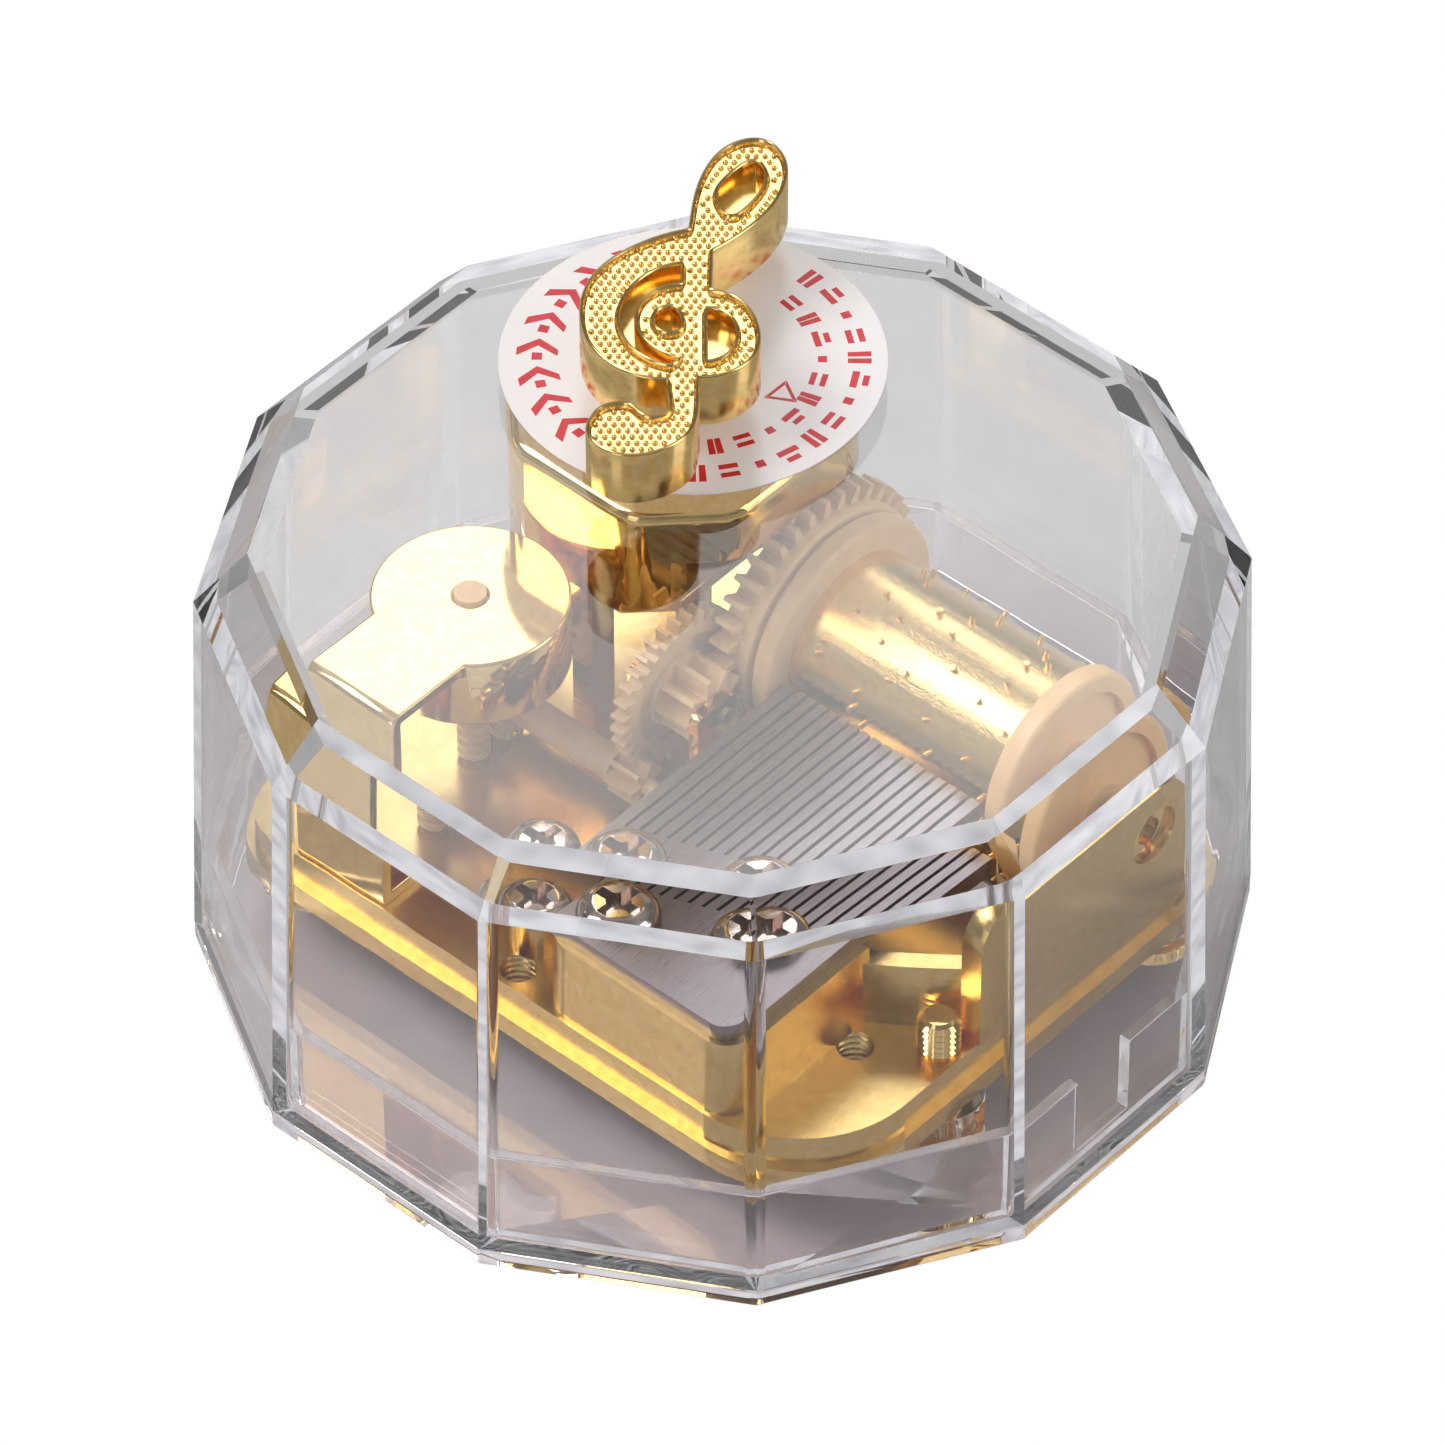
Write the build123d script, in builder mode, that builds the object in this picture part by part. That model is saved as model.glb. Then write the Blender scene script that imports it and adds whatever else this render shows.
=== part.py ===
from build123d import *

import os
from math import atan2, cos, hypot, pi, sin

# Wind-up music box: an 18-note movement in a clear twelve-sided case, with a treble-clef key on top.
# Millimetres. Origin at the centre of the underside, +Z up, +X along the drum from its gear to its
# end cap, +Y from the comb towards the drum. Two of the twelve walls face +X and -X.

# ---- case ----
SIDES = 12
CASE_HEIGHT = 36.0
CASE_RADIUS = 36.2  # circumradius at the bottom; 70 mm across flats
SHOULDER_RADIUS = 35.15  # circumradius where the top chamfer starts
CHAMFER_HEIGHT = 4.25
CHAMFER_WIDTH = 3.7
WALL = 2.4
TOP_THICKNESS = 3.1
ROOF_SLOPE_WIDTH = 2.35  # the ceiling slopes down all round its edge
ROOF_SLOPE_HEIGHT = 1.7
INNER_CORNER_R = 1.6
FLANGE_HEIGHT = 1.4
RIM_HEIGHT = 8.9
RIM_WALL = 0.9
SLIDE_GAP = 0.15

# ---- winding axis ----
ARBOR_X, ARBOR_Y = -12.7, 11.2
ARBOR_R = 1.9
LABEL_R = 13.1
LABEL_THICKNESS = 0.12
KEY_BOTTOM, KEY_TOP = 38.9, 43.2

# ---- spring housing and barrel ----
HOUSING_X, HOUSING_Y = -13.2, 10.6
HOUSING_HALF_X, HOUSING_HALF_Y = 10.7, 11.3
HOUSING_CUT = 5.2
HOUSING_TOP, HOUSING_FLOOR = 31.6, 23.0
HOUSING_WALL = 1.1
RING_BOTTOM = 22.0
GEAR_WINDOW_X, GEAR_WINDOW_TOP = -5.8, 27.2
BARREL_R = 8.1
BARREL_BOTTOM, BARREL_TOP = 23.4, 29.2
CROWN_TIP_Z, CROWN_ROOT_Z, CROWN_TOP_Z = 25.75, 26.85, 27.9
CROWN_INNER_R, CROWN_OUTER_R = 8.1, 9.55

# ---- drum ----
DRUM_Y, DRUM_Z = 12.2, 16.9
DRUM_R = 6.35
DRUM_X0, DRUM_X1 = 0.6, 18.7
DRUM_WALL = 0.9
PIN_HEIGHT, PIN_R = 0.4, 0.24
TRACKS = 18
CAP_R, CAP_THICKNESS = 7.1, 1.5
DRUM_ARBOR_R = 1.0

# ---- gear train: equal tooth pitch in each mesh ----
DRUM_TEETH, DRUM_PITCH_R = 38, 9.3
GEAR_X0, GEAR_X1 = -3.9, -2.1
PINION_TEETH = 9
WHEEL_TEETH = 32
SMALL_PINION_TEETH = 7
WORM_WHEEL_TEETH = 12
GEAR_DEPTH, WHEEL_DEPTH = 1.1, 0.8
ROOT_GAP = 0.15
MESH_GAP = 0.05
PINION_PITCH_R = DRUM_PITCH_R * PINION_TEETH / DRUM_TEETH
INTERMEDIATE_Y = DRUM_Y - DRUM_PITCH_R - PINION_PITCH_R - MESH_GAP
INTERMEDIATE_Z = DRUM_Z
SECOND_Y, SECOND_Z = -4.17, 11.9
WHEEL_X0, WHEEL_X1 = -5.5, -4.3
GOVERNOR_X, GOVERNOR_Y = -15.5, -8.1
COVER_R = 6.8
COVER_TOP, COVER_BOTTOM = 24.8, 19.2

# ---- bedplate and comb ----
BED_BOTTOM, BED_TOP = 5.5, 9.6
BED_X0, BED_X1 = -25.0, 26.4
BED_Y0, BED_Y1 = -21.2, 21.4
COMB_X0, COMB_X1 = 1.0, 18.2
COMB_Y0, COMB_TIP_Y = -19.8, 5.25
COMB_BOTTOM, COMB_TOP = 16.2, 17.5
SLOT_WIDTH = 0.26
COMB_CORNER_R = 1.6
PEDESTAL_CORNER_R = 2.2
THREAD_PITCH = 0.6
THREAD_DEPTH = 0.32
COMB_SCREWS = [(4.9, -15.3), (13.2, -11.3)]
ROOT_SLOPE = 0.36
ROOT_Y0 = -12.4

os.makedirs("parts", exist_ok=True)


def finish(builder, name):
    """Label a finished sub-part and write its file."""
    builder.part.label = name
    export_step(builder.part, f"parts/{name}.step")


def x_plane(x, y, z):
    """Plane across the X axis: sketch x runs along +Y and sketch y along +Z."""
    return Plane(origin=(x, y, z), x_dir=(0, 1, 0), z_dir=(1, 0, 0))


def tooth(root_r, tip_r, root_width, tip_width):
    """One straight-flanked tooth, pointing along the sketch's local x axis."""
    Polygon(
        (root_r - 0.3, -root_width / 2),
        (tip_r, -tip_width / 2),
        (tip_r, tip_width / 2),
        (root_r - 0.3, root_width / 2),
        align=None,
    )


def gear_outline(pitch_r, teeth, depth, phase=0.0):
    """Toothed disc: the tooth pitch follows from the pitch radius and the number of teeth."""
    pitch = 2 * pi * pitch_r / teeth
    root_r = pitch_r - depth / 2 - ROOT_GAP
    Circle(root_r)
    with PolarLocations(0, teeth, start_angle=phase):
        tooth(root_r, pitch_r + depth / 2, pitch * 0.56, pitch * 0.26)


def octagon(half_x, half_y, cut):
    """Rectangle with cut corners, centred in the sketch."""
    Polygon(
        (half_x, half_y - cut),
        (half_x - cut, half_y),
        (cut - half_x, half_y),
        (-half_x, half_y - cut),
        (-half_x, cut - half_y),
        (cut - half_x, -half_y),
        (half_x - cut, -half_y),
        (half_x, cut - half_y),
        align=None,
    )


def screw(x, y, seat_z, head_r, head_height, shank_r, length):
    """Pan-head cross-recess screw, pointing down from its seat."""
    with BuildSketch(Plane.XY.offset(seat_z)) as head:
        with Locations((x, y)):
            Circle(head_r)
    extrude(head.sketch, amount=head_height)
    rounding = head_height * 0.6
    top = edges().filter_by(GeomType.CIRCLE).filter_by_position(
        Axis.Z, seat_z + head_height - 0.01, seat_z + head_height + 0.01)
    fillet(top.sort_by_distance((x, y, seat_z + head_height))[0], radius=rounding)
    with BuildSketch(Plane.XY.offset(seat_z + head_height)) as recess:
        with Locations((x, y)):
            Rectangle(head_r * 1.2, head_r * 0.3)
            Rectangle(head_r * 0.3, head_r * 1.2)
            Circle(head_r * 0.3)
    extrude(recess.sketch, amount=-head_height * 0.55, mode=Mode.SUBTRACT)
    with BuildSketch(Plane.XY.offset(seat_z)) as shank:
        with Locations((x, y)):
            Circle(shank_r)
    extrude(shank.sketch, amount=-length)


def thread(plane, core_r, crest_r, length, mode=Mode.ADD):
    """Threaded rod drawn as a row of ridges, along the y axis of the plane from its origin."""
    turns = round(length / THREAD_PITCH)
    pitch = length / turns
    profile = [(0, 0)]
    for turn in range(turns):
        profile += [(core_r, turn * pitch), (crest_r, (turn + 0.5) * pitch)]
    profile += [(core_r, length), (0, length)]
    with BuildSketch(plane) as section:
        Polygon(*profile, align=None)
    revolve(section.sketch, axis=Axis(plane.origin, plane.y_dir), mode=mode)


def rising_plane(x, y, z):
    """Plane for a rod that rises from a point: sketch x runs along +X and sketch y along +Z."""
    return Plane(origin=(x, y, z), x_dir=(1, 0, 0), z_dir=(0, -1, 0))


# ---------------------------------------------------------------- case shell
shell_sections = [
    (FLANGE_HEIGHT, CASE_RADIUS),
    (CASE_HEIGHT - CHAMFER_HEIGHT, SHOULDER_RADIUS),
    (CASE_HEIGHT, SHOULDER_RADIUS - CHAMFER_WIDTH),
]
inner_top = CASE_HEIGHT - TOP_THICKNESS
cavity_sections = [
    (FLANGE_HEIGHT, CASE_RADIUS - WALL),
    (inner_top - ROOF_SLOPE_HEIGHT, SHOULDER_RADIUS - WALL),
    (inner_top, SHOULDER_RADIUS - WALL - ROOF_SLOPE_WIDTH),
]
with BuildPart() as case_shell:
    for height, radius in shell_sections:
        with BuildSketch(Plane.XY.offset(height)):
            RegularPolygon(radius, SIDES, rotation=180 / SIDES)
    loft(ruled=True)
    for height, radius in cavity_sections:
        with BuildSketch(Plane.XY.offset(height)):
            RegularPolygon(radius, SIDES, rotation=180 / SIDES)
    loft(ruled=True, mode=Mode.SUBTRACT)
    wall_corners = [
        edge
        for edge in case_shell.edges()
        if edge.length > 20 and Vector(edge.center().X, edge.center().Y, 0).length < CASE_RADIUS - WALL
    ]
    fillet(wall_corners, radius=INNER_CORNER_R)
    with BuildSketch(Plane.XY.offset(CASE_HEIGHT)):
        with Locations((ARBOR_X, ARBOR_Y)):
            Circle(ARBOR_R + 0.6)
    extrude(amount=-TOP_THICKNESS - 1, mode=Mode.SUBTRACT)
finish(case_shell, "case_shell")

# ---------------------------------------------------------------- base plate
STANDOFFS = [(-21.8, -15.6), (24.0, -6.1), (22.4, 17.0), (-22.4, 12.2)]
STANDOFF_R = 3.2
BASE_SCREW_R = 1.5
BASE_HEAD_R = 2.5
BASE_SCREW_TOPS = [9.0, 12.6, 9.0, 9.0]  # the one beside the right wall comes up through the bedplate
rim_outer = CASE_RADIUS - WALL - SLIDE_GAP - 0.2
with BuildPart() as base_plate:
    with BuildSketch():
        RegularPolygon(CASE_RADIUS, SIDES, rotation=180 / SIDES)
    extrude(amount=FLANGE_HEIGHT)
    with BuildSketch(Plane.XY.offset(FLANGE_HEIGHT)):
        RegularPolygon(rim_outer, SIDES, rotation=180 / SIDES)
        RegularPolygon(rim_outer - RIM_WALL, SIDES, rotation=180 / SIDES, mode=Mode.SUBTRACT)
    extrude(amount=RIM_HEIGHT - FLANGE_HEIGHT)
    with BuildSketch(Plane.XY.offset(FLANGE_HEIGHT)):
        with Locations(*STANDOFFS):
            Circle(STANDOFF_R)
    extrude(amount=BED_BOTTOM - FLANGE_HEIGHT)
    with BuildSketch():
        with Locations(*STANDOFFS):
            Circle(BASE_SCREW_R)
    extrude(amount=BED_BOTTOM, mode=Mode.SUBTRACT)
    with BuildSketch():
        with Locations(*STANDOFFS):
            Circle(BASE_HEAD_R)
    extrude(amount=1.9, mode=Mode.SUBTRACT)
    # finger slot in the rim where the cover is released
    with BuildSketch(Plane.XY.offset(FLANGE_HEIGHT + 1.0)):
        with Locations((rim_outer - 1.2, 0)):
            Rectangle(6, 5.2)
    extrude(amount=RIM_HEIGHT, mode=Mode.SUBTRACT)
finish(base_plate, "base_plate")

with BuildPart() as base_screws:
    for (x, y), top in zip(STANDOFFS, BASE_SCREW_TOPS):
        with BuildSketch(Plane.XY.offset(0.2)):
            with Locations((x, y)):
                Circle(BASE_HEAD_R)
        extrude(amount=1.7)
        with BuildSketch(Plane.XY.offset(0.2)):
            with Locations((x, y)):
                Rectangle(2.8, 0.6)
                Rectangle(0.6, 2.8)
        extrude(amount=0.9, mode=Mode.SUBTRACT)
        with BuildSketch(Plane.XY.offset(1.9)):
            with Locations((x, y)):
                Circle(BASE_SCREW_R)
        extrude(amount=min(top, BED_TOP) - 1.9)
        if top > BED_TOP:
            tip = rising_plane(x, y, BED_TOP)
            thread(tip, BASE_SCREW_R - THREAD_DEPTH, BASE_SCREW_R, top - BED_TOP - 0.3)
            with BuildSketch(Plane.XY.offset(top - 0.35)):
                with Locations((x, y)):
                    Circle(BASE_SCREW_R - THREAD_DEPTH)
            extrude(amount=0.35, taper=30)
finish(base_screws, "base_screws")

# ---------------------------------------------------------------- label
with BuildPart() as key_label:
    with BuildSketch(Plane.XY.offset(CASE_HEIGHT)):
        with Locations((ARBOR_X, ARBOR_Y)):
            Circle(LABEL_R)
            Circle(ARBOR_R + 0.7, mode=Mode.SUBTRACT)
    extrude(amount=LABEL_THICKNESS)
finish(key_label, "key_label")

# ---------------------------------------------------------------- treble-clef key
CLEF_LOOP_LEFT = [(-16.5, 15.0), (-18.4, 17.7), (-19.8, 20.6), (-20.1, 23.0), (-19.2, 24.8), (-17.6, 25.2)]
CLEF_LOOP_RIGHT = [(-17.6, 25.2), (-15.7, 24.2), (-14.1, 21.8), (-13.4, 18.6), (-13.7, 14.4)]
CLEF_BULGE = [(-11.3, 11.6), (-9.0, 12.1), (-6.6, 11.0), (-4.8, 8.6), (-4.9, 6.2), (-6.1, 4.5)]
CLEF_BALL = [
    (-6.1, 4.5), (-4.2, 2.3), (-3.1, 0.3), (-3.3, -2.4), (-5.2, -4.6), (-7.6, -4.7), (-9.1, -2.9)
]
CLEF_HOOK = [(-9.1, -2.9), (-9.0, -1.2), (-7.9, -0.3), (-6.4, -0.4), (-5.6, 0.5), (-6.4, 1.7), (-7.6, 2.9)]
CLEF_BOWL = [
    (-7.6, 2.9), (-10.5, 1.6), (-13.4, 1.9), (-16.4, 4.0), (-18.2, 7.2), (-18.2, 11.0), (-16.5, 15.0)
]
LOOP_POCKET = [(-17.2, 23.0), (-15.9, 22.0), (-15.2, 19.9), (-15.4, 17.9), (-16.6, 18.3), (-17.9, 20.9)]
HALF_POCKET = [(-10.2, 9.9), (-8.9, 10.3), (-7.3, 9.4), (-6.5, 7.9), (-6.9, 6.2)]
EYE_POCKET = [(-12.0, 8.5), (-11.1, 8.1), (-10.4, 7.0), (-11.2, 6.4), (-12.2, 6.9), (-12.5, 7.8)]
SWEEP_OUTER = [(-14.5, 12.0), (-15.3, 10.3), (-15.3, 8.0), (-13.9, 5.3), (-11.5, 3.9), (-8.5, 4.3)]
SWEEP_INNER = [(-8.5, 5.0), (-10.9, 4.7), (-13.1, 5.8), (-14.2, 8.0), (-13.3, 10.6)]
POCKET_FLOOR = KEY_TOP - 1.6
SOCKET_DEPTH = 0.6
with BuildPart() as clef_key:
    with BuildSketch(Plane.XY.offset(KEY_BOTTOM)):
        with BuildLine():
            Spline(*CLEF_LOOP_LEFT)
            Spline(*CLEF_LOOP_RIGHT)
            Line(CLEF_LOOP_RIGHT[-1], CLEF_BULGE[0])
            Spline(*CLEF_BULGE)
            Spline(*CLEF_BALL)
            Spline(*CLEF_HOOK)
            Spline(*CLEF_BOWL)
        make_face()
    extrude(amount=KEY_TOP - KEY_BOTTOM)
    with BuildSketch(Plane.XY.offset(KEY_TOP)):
        with BuildLine():
            Spline(*LOOP_POCKET, periodic=True)
        make_face()
    extrude(amount=POCKET_FLOOR - KEY_TOP, mode=Mode.SUBTRACT)
    with BuildSketch(Plane.XY.offset(KEY_TOP)):
        with BuildLine():
            Spline(*HALF_POCKET)
            Line(HALF_POCKET[-1], HALF_POCKET[0])
        make_face()
    extrude(amount=POCKET_FLOOR - KEY_TOP, mode=Mode.SUBTRACT)
    with BuildSketch(Plane.XY.offset(KEY_TOP)):
        with BuildLine():
            Spline(*EYE_POCKET, periodic=True)
        make_face()
    extrude(amount=POCKET_FLOOR - KEY_TOP, mode=Mode.SUBTRACT)
    with BuildSketch(Plane.XY.offset(KEY_TOP)):
        with BuildLine():
            Spline(*SWEEP_OUTER)
            Line(SWEEP_OUTER[-1], SWEEP_INNER[0])
            Spline(*SWEEP_INNER)
            Line(SWEEP_INNER[-1], SWEEP_OUTER[0])
        make_face()
    extrude(amount=POCKET_FLOOR - KEY_TOP, mode=Mode.SUBTRACT)
    with BuildSketch(Plane.XY.offset(KEY_BOTTOM)):
        with Locations((ARBOR_X, ARBOR_Y)):
            Circle(ARBOR_R)
    extrude(amount=SOCKET_DEPTH, mode=Mode.SUBTRACT)
finish(clef_key, "clef_key")

# ---------------------------------------------------------------- winding arbor, ratchet, click
PIVOT_R = 1.25
RATCHET_R, RATCHET_TEETH = 4.4, 12
RATCHET_Z0, RATCHET_Z1 = 29.45, 30.25
with BuildPart() as winding_arbor:
    with BuildSketch(Plane.XY.offset(BARREL_BOTTOM - 0.4)):
        with Locations((ARBOR_X, ARBOR_Y)):
            Circle(ARBOR_R)
    extrude(amount=KEY_BOTTOM + SOCKET_DEPTH - BARREL_BOTTOM + 0.4)
    with BuildSketch(Plane.XY.offset(BED_TOP - 2.0)):
        with Locations((ARBOR_X, ARBOR_Y)):
            Circle(PIVOT_R)
    extrude(amount=BARREL_BOTTOM - BED_TOP + 1.6)
    with BuildSketch(Plane.XY.offset(HOUSING_TOP + 0.3)):
        with Locations((ARBOR_X, ARBOR_Y)):
            Circle(ARBOR_R + 0.45)
    extrude(amount=0.6)
finish(winding_arbor, "winding_arbor")

with BuildPart() as ratchet_wheel:
    with BuildSketch(Plane.XY.offset(RATCHET_Z0)):
        with Locations((ARBOR_X, ARBOR_Y)):
            Circle(RATCHET_R - 0.8)
            with PolarLocations(0, RATCHET_TEETH):
                Polygon(
                    (RATCHET_R - 1.2, 1.1), (RATCHET_R, -0.75), (RATCHET_R - 1.2, -0.75), align=None
                )
            Circle(ARBOR_R, mode=Mode.SUBTRACT)
    extrude(amount=RATCHET_Z1 - RATCHET_Z0)
finish(ratchet_wheel, "ratchet_wheel")

with BuildPart() as click_spring:
    with BuildSketch(Plane.XY.offset(RATCHET_Z0)):
        with Locations((ARBOR_X - RATCHET_R - 0.3, ARBOR_Y - 1.5)):
            Rectangle(0.35, 6.0)
        with Locations((ARBOR_X - RATCHET_R - 1.2, ARBOR_Y - 4.6)):
            Circle(1.1)
    extrude(amount=RATCHET_Z1 - RATCHET_Z0 + 0.15)
finish(click_spring, "click_spring")

# ---------------------------------------------------------------- spring housing
gear_window_width = HOUSING_X + HOUSING_HALF_X - GEAR_WINDOW_X + 1
with BuildPart() as spring_housing:
    with BuildSketch(Plane.XY.offset(HOUSING_FLOOR)):
        with Locations((HOUSING_X, HOUSING_Y)):
            octagon(HOUSING_HALF_X, HOUSING_HALF_Y, HOUSING_CUT)
    extrude(amount=HOUSING_TOP - HOUSING_FLOOR)
    upright = spring_housing.edges().filter_by(Axis.Z)
    fillet(upright, radius=3.4)
    fillet(spring_housing.faces().sort_by(Axis.Z)[-1].edges(), radius=1.0)
    with BuildSketch(Plane.XY.offset(HOUSING_FLOOR)):
        with Locations((HOUSING_X, HOUSING_Y)):
            octagon(HOUSING_HALF_X - HOUSING_WALL, HOUSING_HALF_Y - HOUSING_WALL, HOUSING_CUT - 0.6)
    extrude(amount=HOUSING_TOP - 1.1 - HOUSING_FLOOR, mode=Mode.SUBTRACT)
    with BuildSketch(Plane.XY.offset(HOUSING_FLOOR)):
        with Locations((GEAR_WINDOW_X + gear_window_width / 2, HOUSING_Y)):
            Rectangle(gear_window_width, 2 * HOUSING_HALF_Y + 1)
    extrude(amount=GEAR_WINDOW_TOP - HOUSING_FLOOR, mode=Mode.SUBTRACT)
    with BuildSketch(Plane.XY.offset(HOUSING_FLOOR)):
        with Locations((ARBOR_X, ARBOR_Y)):
            Circle(CROWN_OUTER_R + 0.3)
    extrude(amount=CROWN_TOP_Z + 0.4 - HOUSING_FLOOR, mode=Mode.SUBTRACT)
    with BuildSketch(Plane.XY.offset(HOUSING_TOP)):
        with Locations((ARBOR_X, ARBOR_Y)):
            Circle(ARBOR_R + 0.06)
    extrude(amount=-2, mode=Mode.SUBTRACT)
finish(spring_housing, "spring_housing")

HOUSING_LEGS = [(-13.2, 1.5), (-21.6, 4.5), (-20.0, 18.0), (-11.0, 20.0)]
LEG_X, LEG_Y = 1.9, 2.2
with BuildPart() as housing_base:
    with BuildSketch(Plane.XY.offset(RING_BOTTOM)):
        with Locations((HOUSING_X, HOUSING_Y)):
            octagon(HOUSING_HALF_X - 0.05, HOUSING_HALF_Y - 0.05, HOUSING_CUT + 0.9)
        with Locations((ARBOR_X, ARBOR_Y)):
            Circle(6.6, mode=Mode.SUBTRACT)
        with Locations((GEAR_WINDOW_X + gear_window_width / 2, HOUSING_Y)):
            Rectangle(gear_window_width, 2 * HOUSING_HALF_Y + 1, mode=Mode.SUBTRACT)
    extrude(amount=HOUSING_FLOOR - RING_BOTTOM)
    with BuildSketch(Plane.XY.offset(BED_TOP)):
        with Locations(*HOUSING_LEGS):
            Rectangle(LEG_X, LEG_Y)
    extrude(amount=RING_BOTTOM - BED_TOP)
finish(housing_base, "housing_base")

with BuildPart() as housing_screws:
    for x, y in HOUSING_LEGS[1:]:
        with BuildSketch(Plane.XY.offset(BED_BOTTOM + 0.1)):
            with Locations((x, y)):
                Circle(1.5)
        extrude(amount=1.1)
        with BuildSketch(Plane.XY.offset(BED_BOTTOM + 0.1)):
            with Locations((x, y)):
                Rectangle(2.0, 0.45)
                Rectangle(0.45, 2.0)
        extrude(amount=0.6, mode=Mode.SUBTRACT)
        with BuildSketch(Plane.XY.offset(BED_BOTTOM + 1.2)):
            with Locations((x, y)):
                Circle(0.8)
        extrude(amount=BED_TOP - BED_BOTTOM - 1.2)
finish(housing_screws, "housing_screws")

# ---------------------------------------------------------------- spring wheel (barrel) and mainspring
crown_pitch = 2 * pi * DRUM_PITCH_R / DRUM_TEETH


def crown_plane(index):
    """Plane across one crown tooth, facing away from the winding axis."""
    first = atan2(DRUM_Y - ARBOR_Y, GEAR_X0 + 0.4 - ARBOR_X)
    angle = first + 2 * pi * index / DRUM_TEETH
    outward = (cos(angle), sin(angle), 0)
    origin = (
        ARBOR_X + CROWN_INNER_R * outward[0] - 0.2 * outward[0],
        ARBOR_Y + CROWN_INNER_R * outward[1] - 0.2 * outward[1],
        CROWN_ROOT_Z,
    )
    return Plane(origin=origin, x_dir=(-outward[1], outward[0], 0), z_dir=outward)


with BuildPart() as spring_wheel:
    with BuildSketch(Plane.XY.offset(BARREL_BOTTOM)):
        with Locations((ARBOR_X, ARBOR_Y)):
            Circle(BARREL_R)
    extrude(amount=BARREL_TOP - BARREL_BOTTOM)
    with BuildSketch(Plane.XY.offset(CROWN_ROOT_Z)):
        with Locations((ARBOR_X, ARBOR_Y)):
            Circle(CROWN_OUTER_R)
    extrude(amount=CROWN_TOP_Z - CROWN_ROOT_Z)
    with BuildSketch(*[crown_plane(index) for index in range(DRUM_TEETH)]):
        Polygon(
            (-crown_pitch * 0.26, 0.2),
            (-crown_pitch * 0.13, CROWN_TIP_Z - CROWN_ROOT_Z),
            (crown_pitch * 0.13, CROWN_TIP_Z - CROWN_ROOT_Z),
            (crown_pitch * 0.26, 0.2),
            align=None,
        )
    extrude(amount=CROWN_OUTER_R - CROWN_INNER_R + 0.2)
    with BuildSketch(Plane.XY.offset(BARREL_BOTTOM + 0.8)):
        with Locations((ARBOR_X, ARBOR_Y)):
            Circle(BARREL_R - 0.8)
    extrude(amount=BARREL_TOP, mode=Mode.SUBTRACT)
    with BuildSketch(Plane.XY.offset(BARREL_BOTTOM)):
        with Locations((ARBOR_X, ARBOR_Y)):
            Circle(ARBOR_R + 0.06)
    extrude(amount=2, mode=Mode.SUBTRACT)
finish(spring_wheel, "spring_wheel")

SPRING_TURNS, SPRING_INNER_R, SPRING_OUTER_R = 5, 2.7, 6.9
SPRING_STRIP = 0.25
SPRING_STEPS = 12
spring_growth = (SPRING_OUTER_R - SPRING_INNER_R) / (SPRING_TURNS * SPRING_STEPS)


def spring_point(step):
    """Point on the spiral, one step being a twelfth of a turn."""
    angle = 2 * pi * step / SPRING_STEPS
    radius = SPRING_INNER_R + spring_growth * step
    return (ARBOR_X + radius * cos(angle), ARBOR_Y + radius * sin(angle))


with BuildPart() as mainspring:
    with BuildSketch(Plane.XY.offset(BARREL_BOTTOM + 1.0)):
        with BuildLine() as spiral:
            Spline(*[spring_point(step) for step in range(SPRING_TURNS * SPRING_STEPS + 1)])
        trace(spiral.line, line_width=SPRING_STRIP)
    extrude(amount=4.4)
finish(mainspring, "mainspring")

# ---------------------------------------------------------------- drum assembly
tooth_pitch = (COMB_X1 - COMB_X0) / TRACKS
PIN_ROWS = 13


def pin_plane(x, angle):
    """Plane just under the drum's skin, facing outward at this angle round the drum."""
    outward = (0, cos(angle), sin(angle))
    foot = DRUM_R - 0.3
    origin = (x, DRUM_Y + foot * outward[1], DRUM_Z + foot * outward[2])
    return Plane(origin=origin, x_dir=(1, 0, 0), z_dir=outward)


pin_planes = []
for row in range(PIN_ROWS):
    for note in range(6):
        track = (row * 5 + note * 3 + (row * note) % 4) % TRACKS
        turn = 2 * pi * (row + 0.31 * (note % 3) + 0.12) / PIN_ROWS
        pin_planes.append(pin_plane(COMB_X0 + (track + 0.5) * tooth_pitch, turn))

with BuildPart() as drum:
    with BuildSketch(x_plane(DRUM_X0, DRUM_Y, DRUM_Z)):
        Circle(DRUM_R)
    extrude(amount=DRUM_X1 - DRUM_X0)
    with BuildSketch(*pin_planes):
        Circle(PIN_R)
    extrude(amount=PIN_HEIGHT + 0.3)
    with BuildSketch(x_plane(DRUM_X0, DRUM_Y, DRUM_Z)):
        Circle(DRUM_R - DRUM_WALL)
    extrude(amount=DRUM_X1 - DRUM_X0, mode=Mode.SUBTRACT)
finish(drum, "drum")

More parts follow.
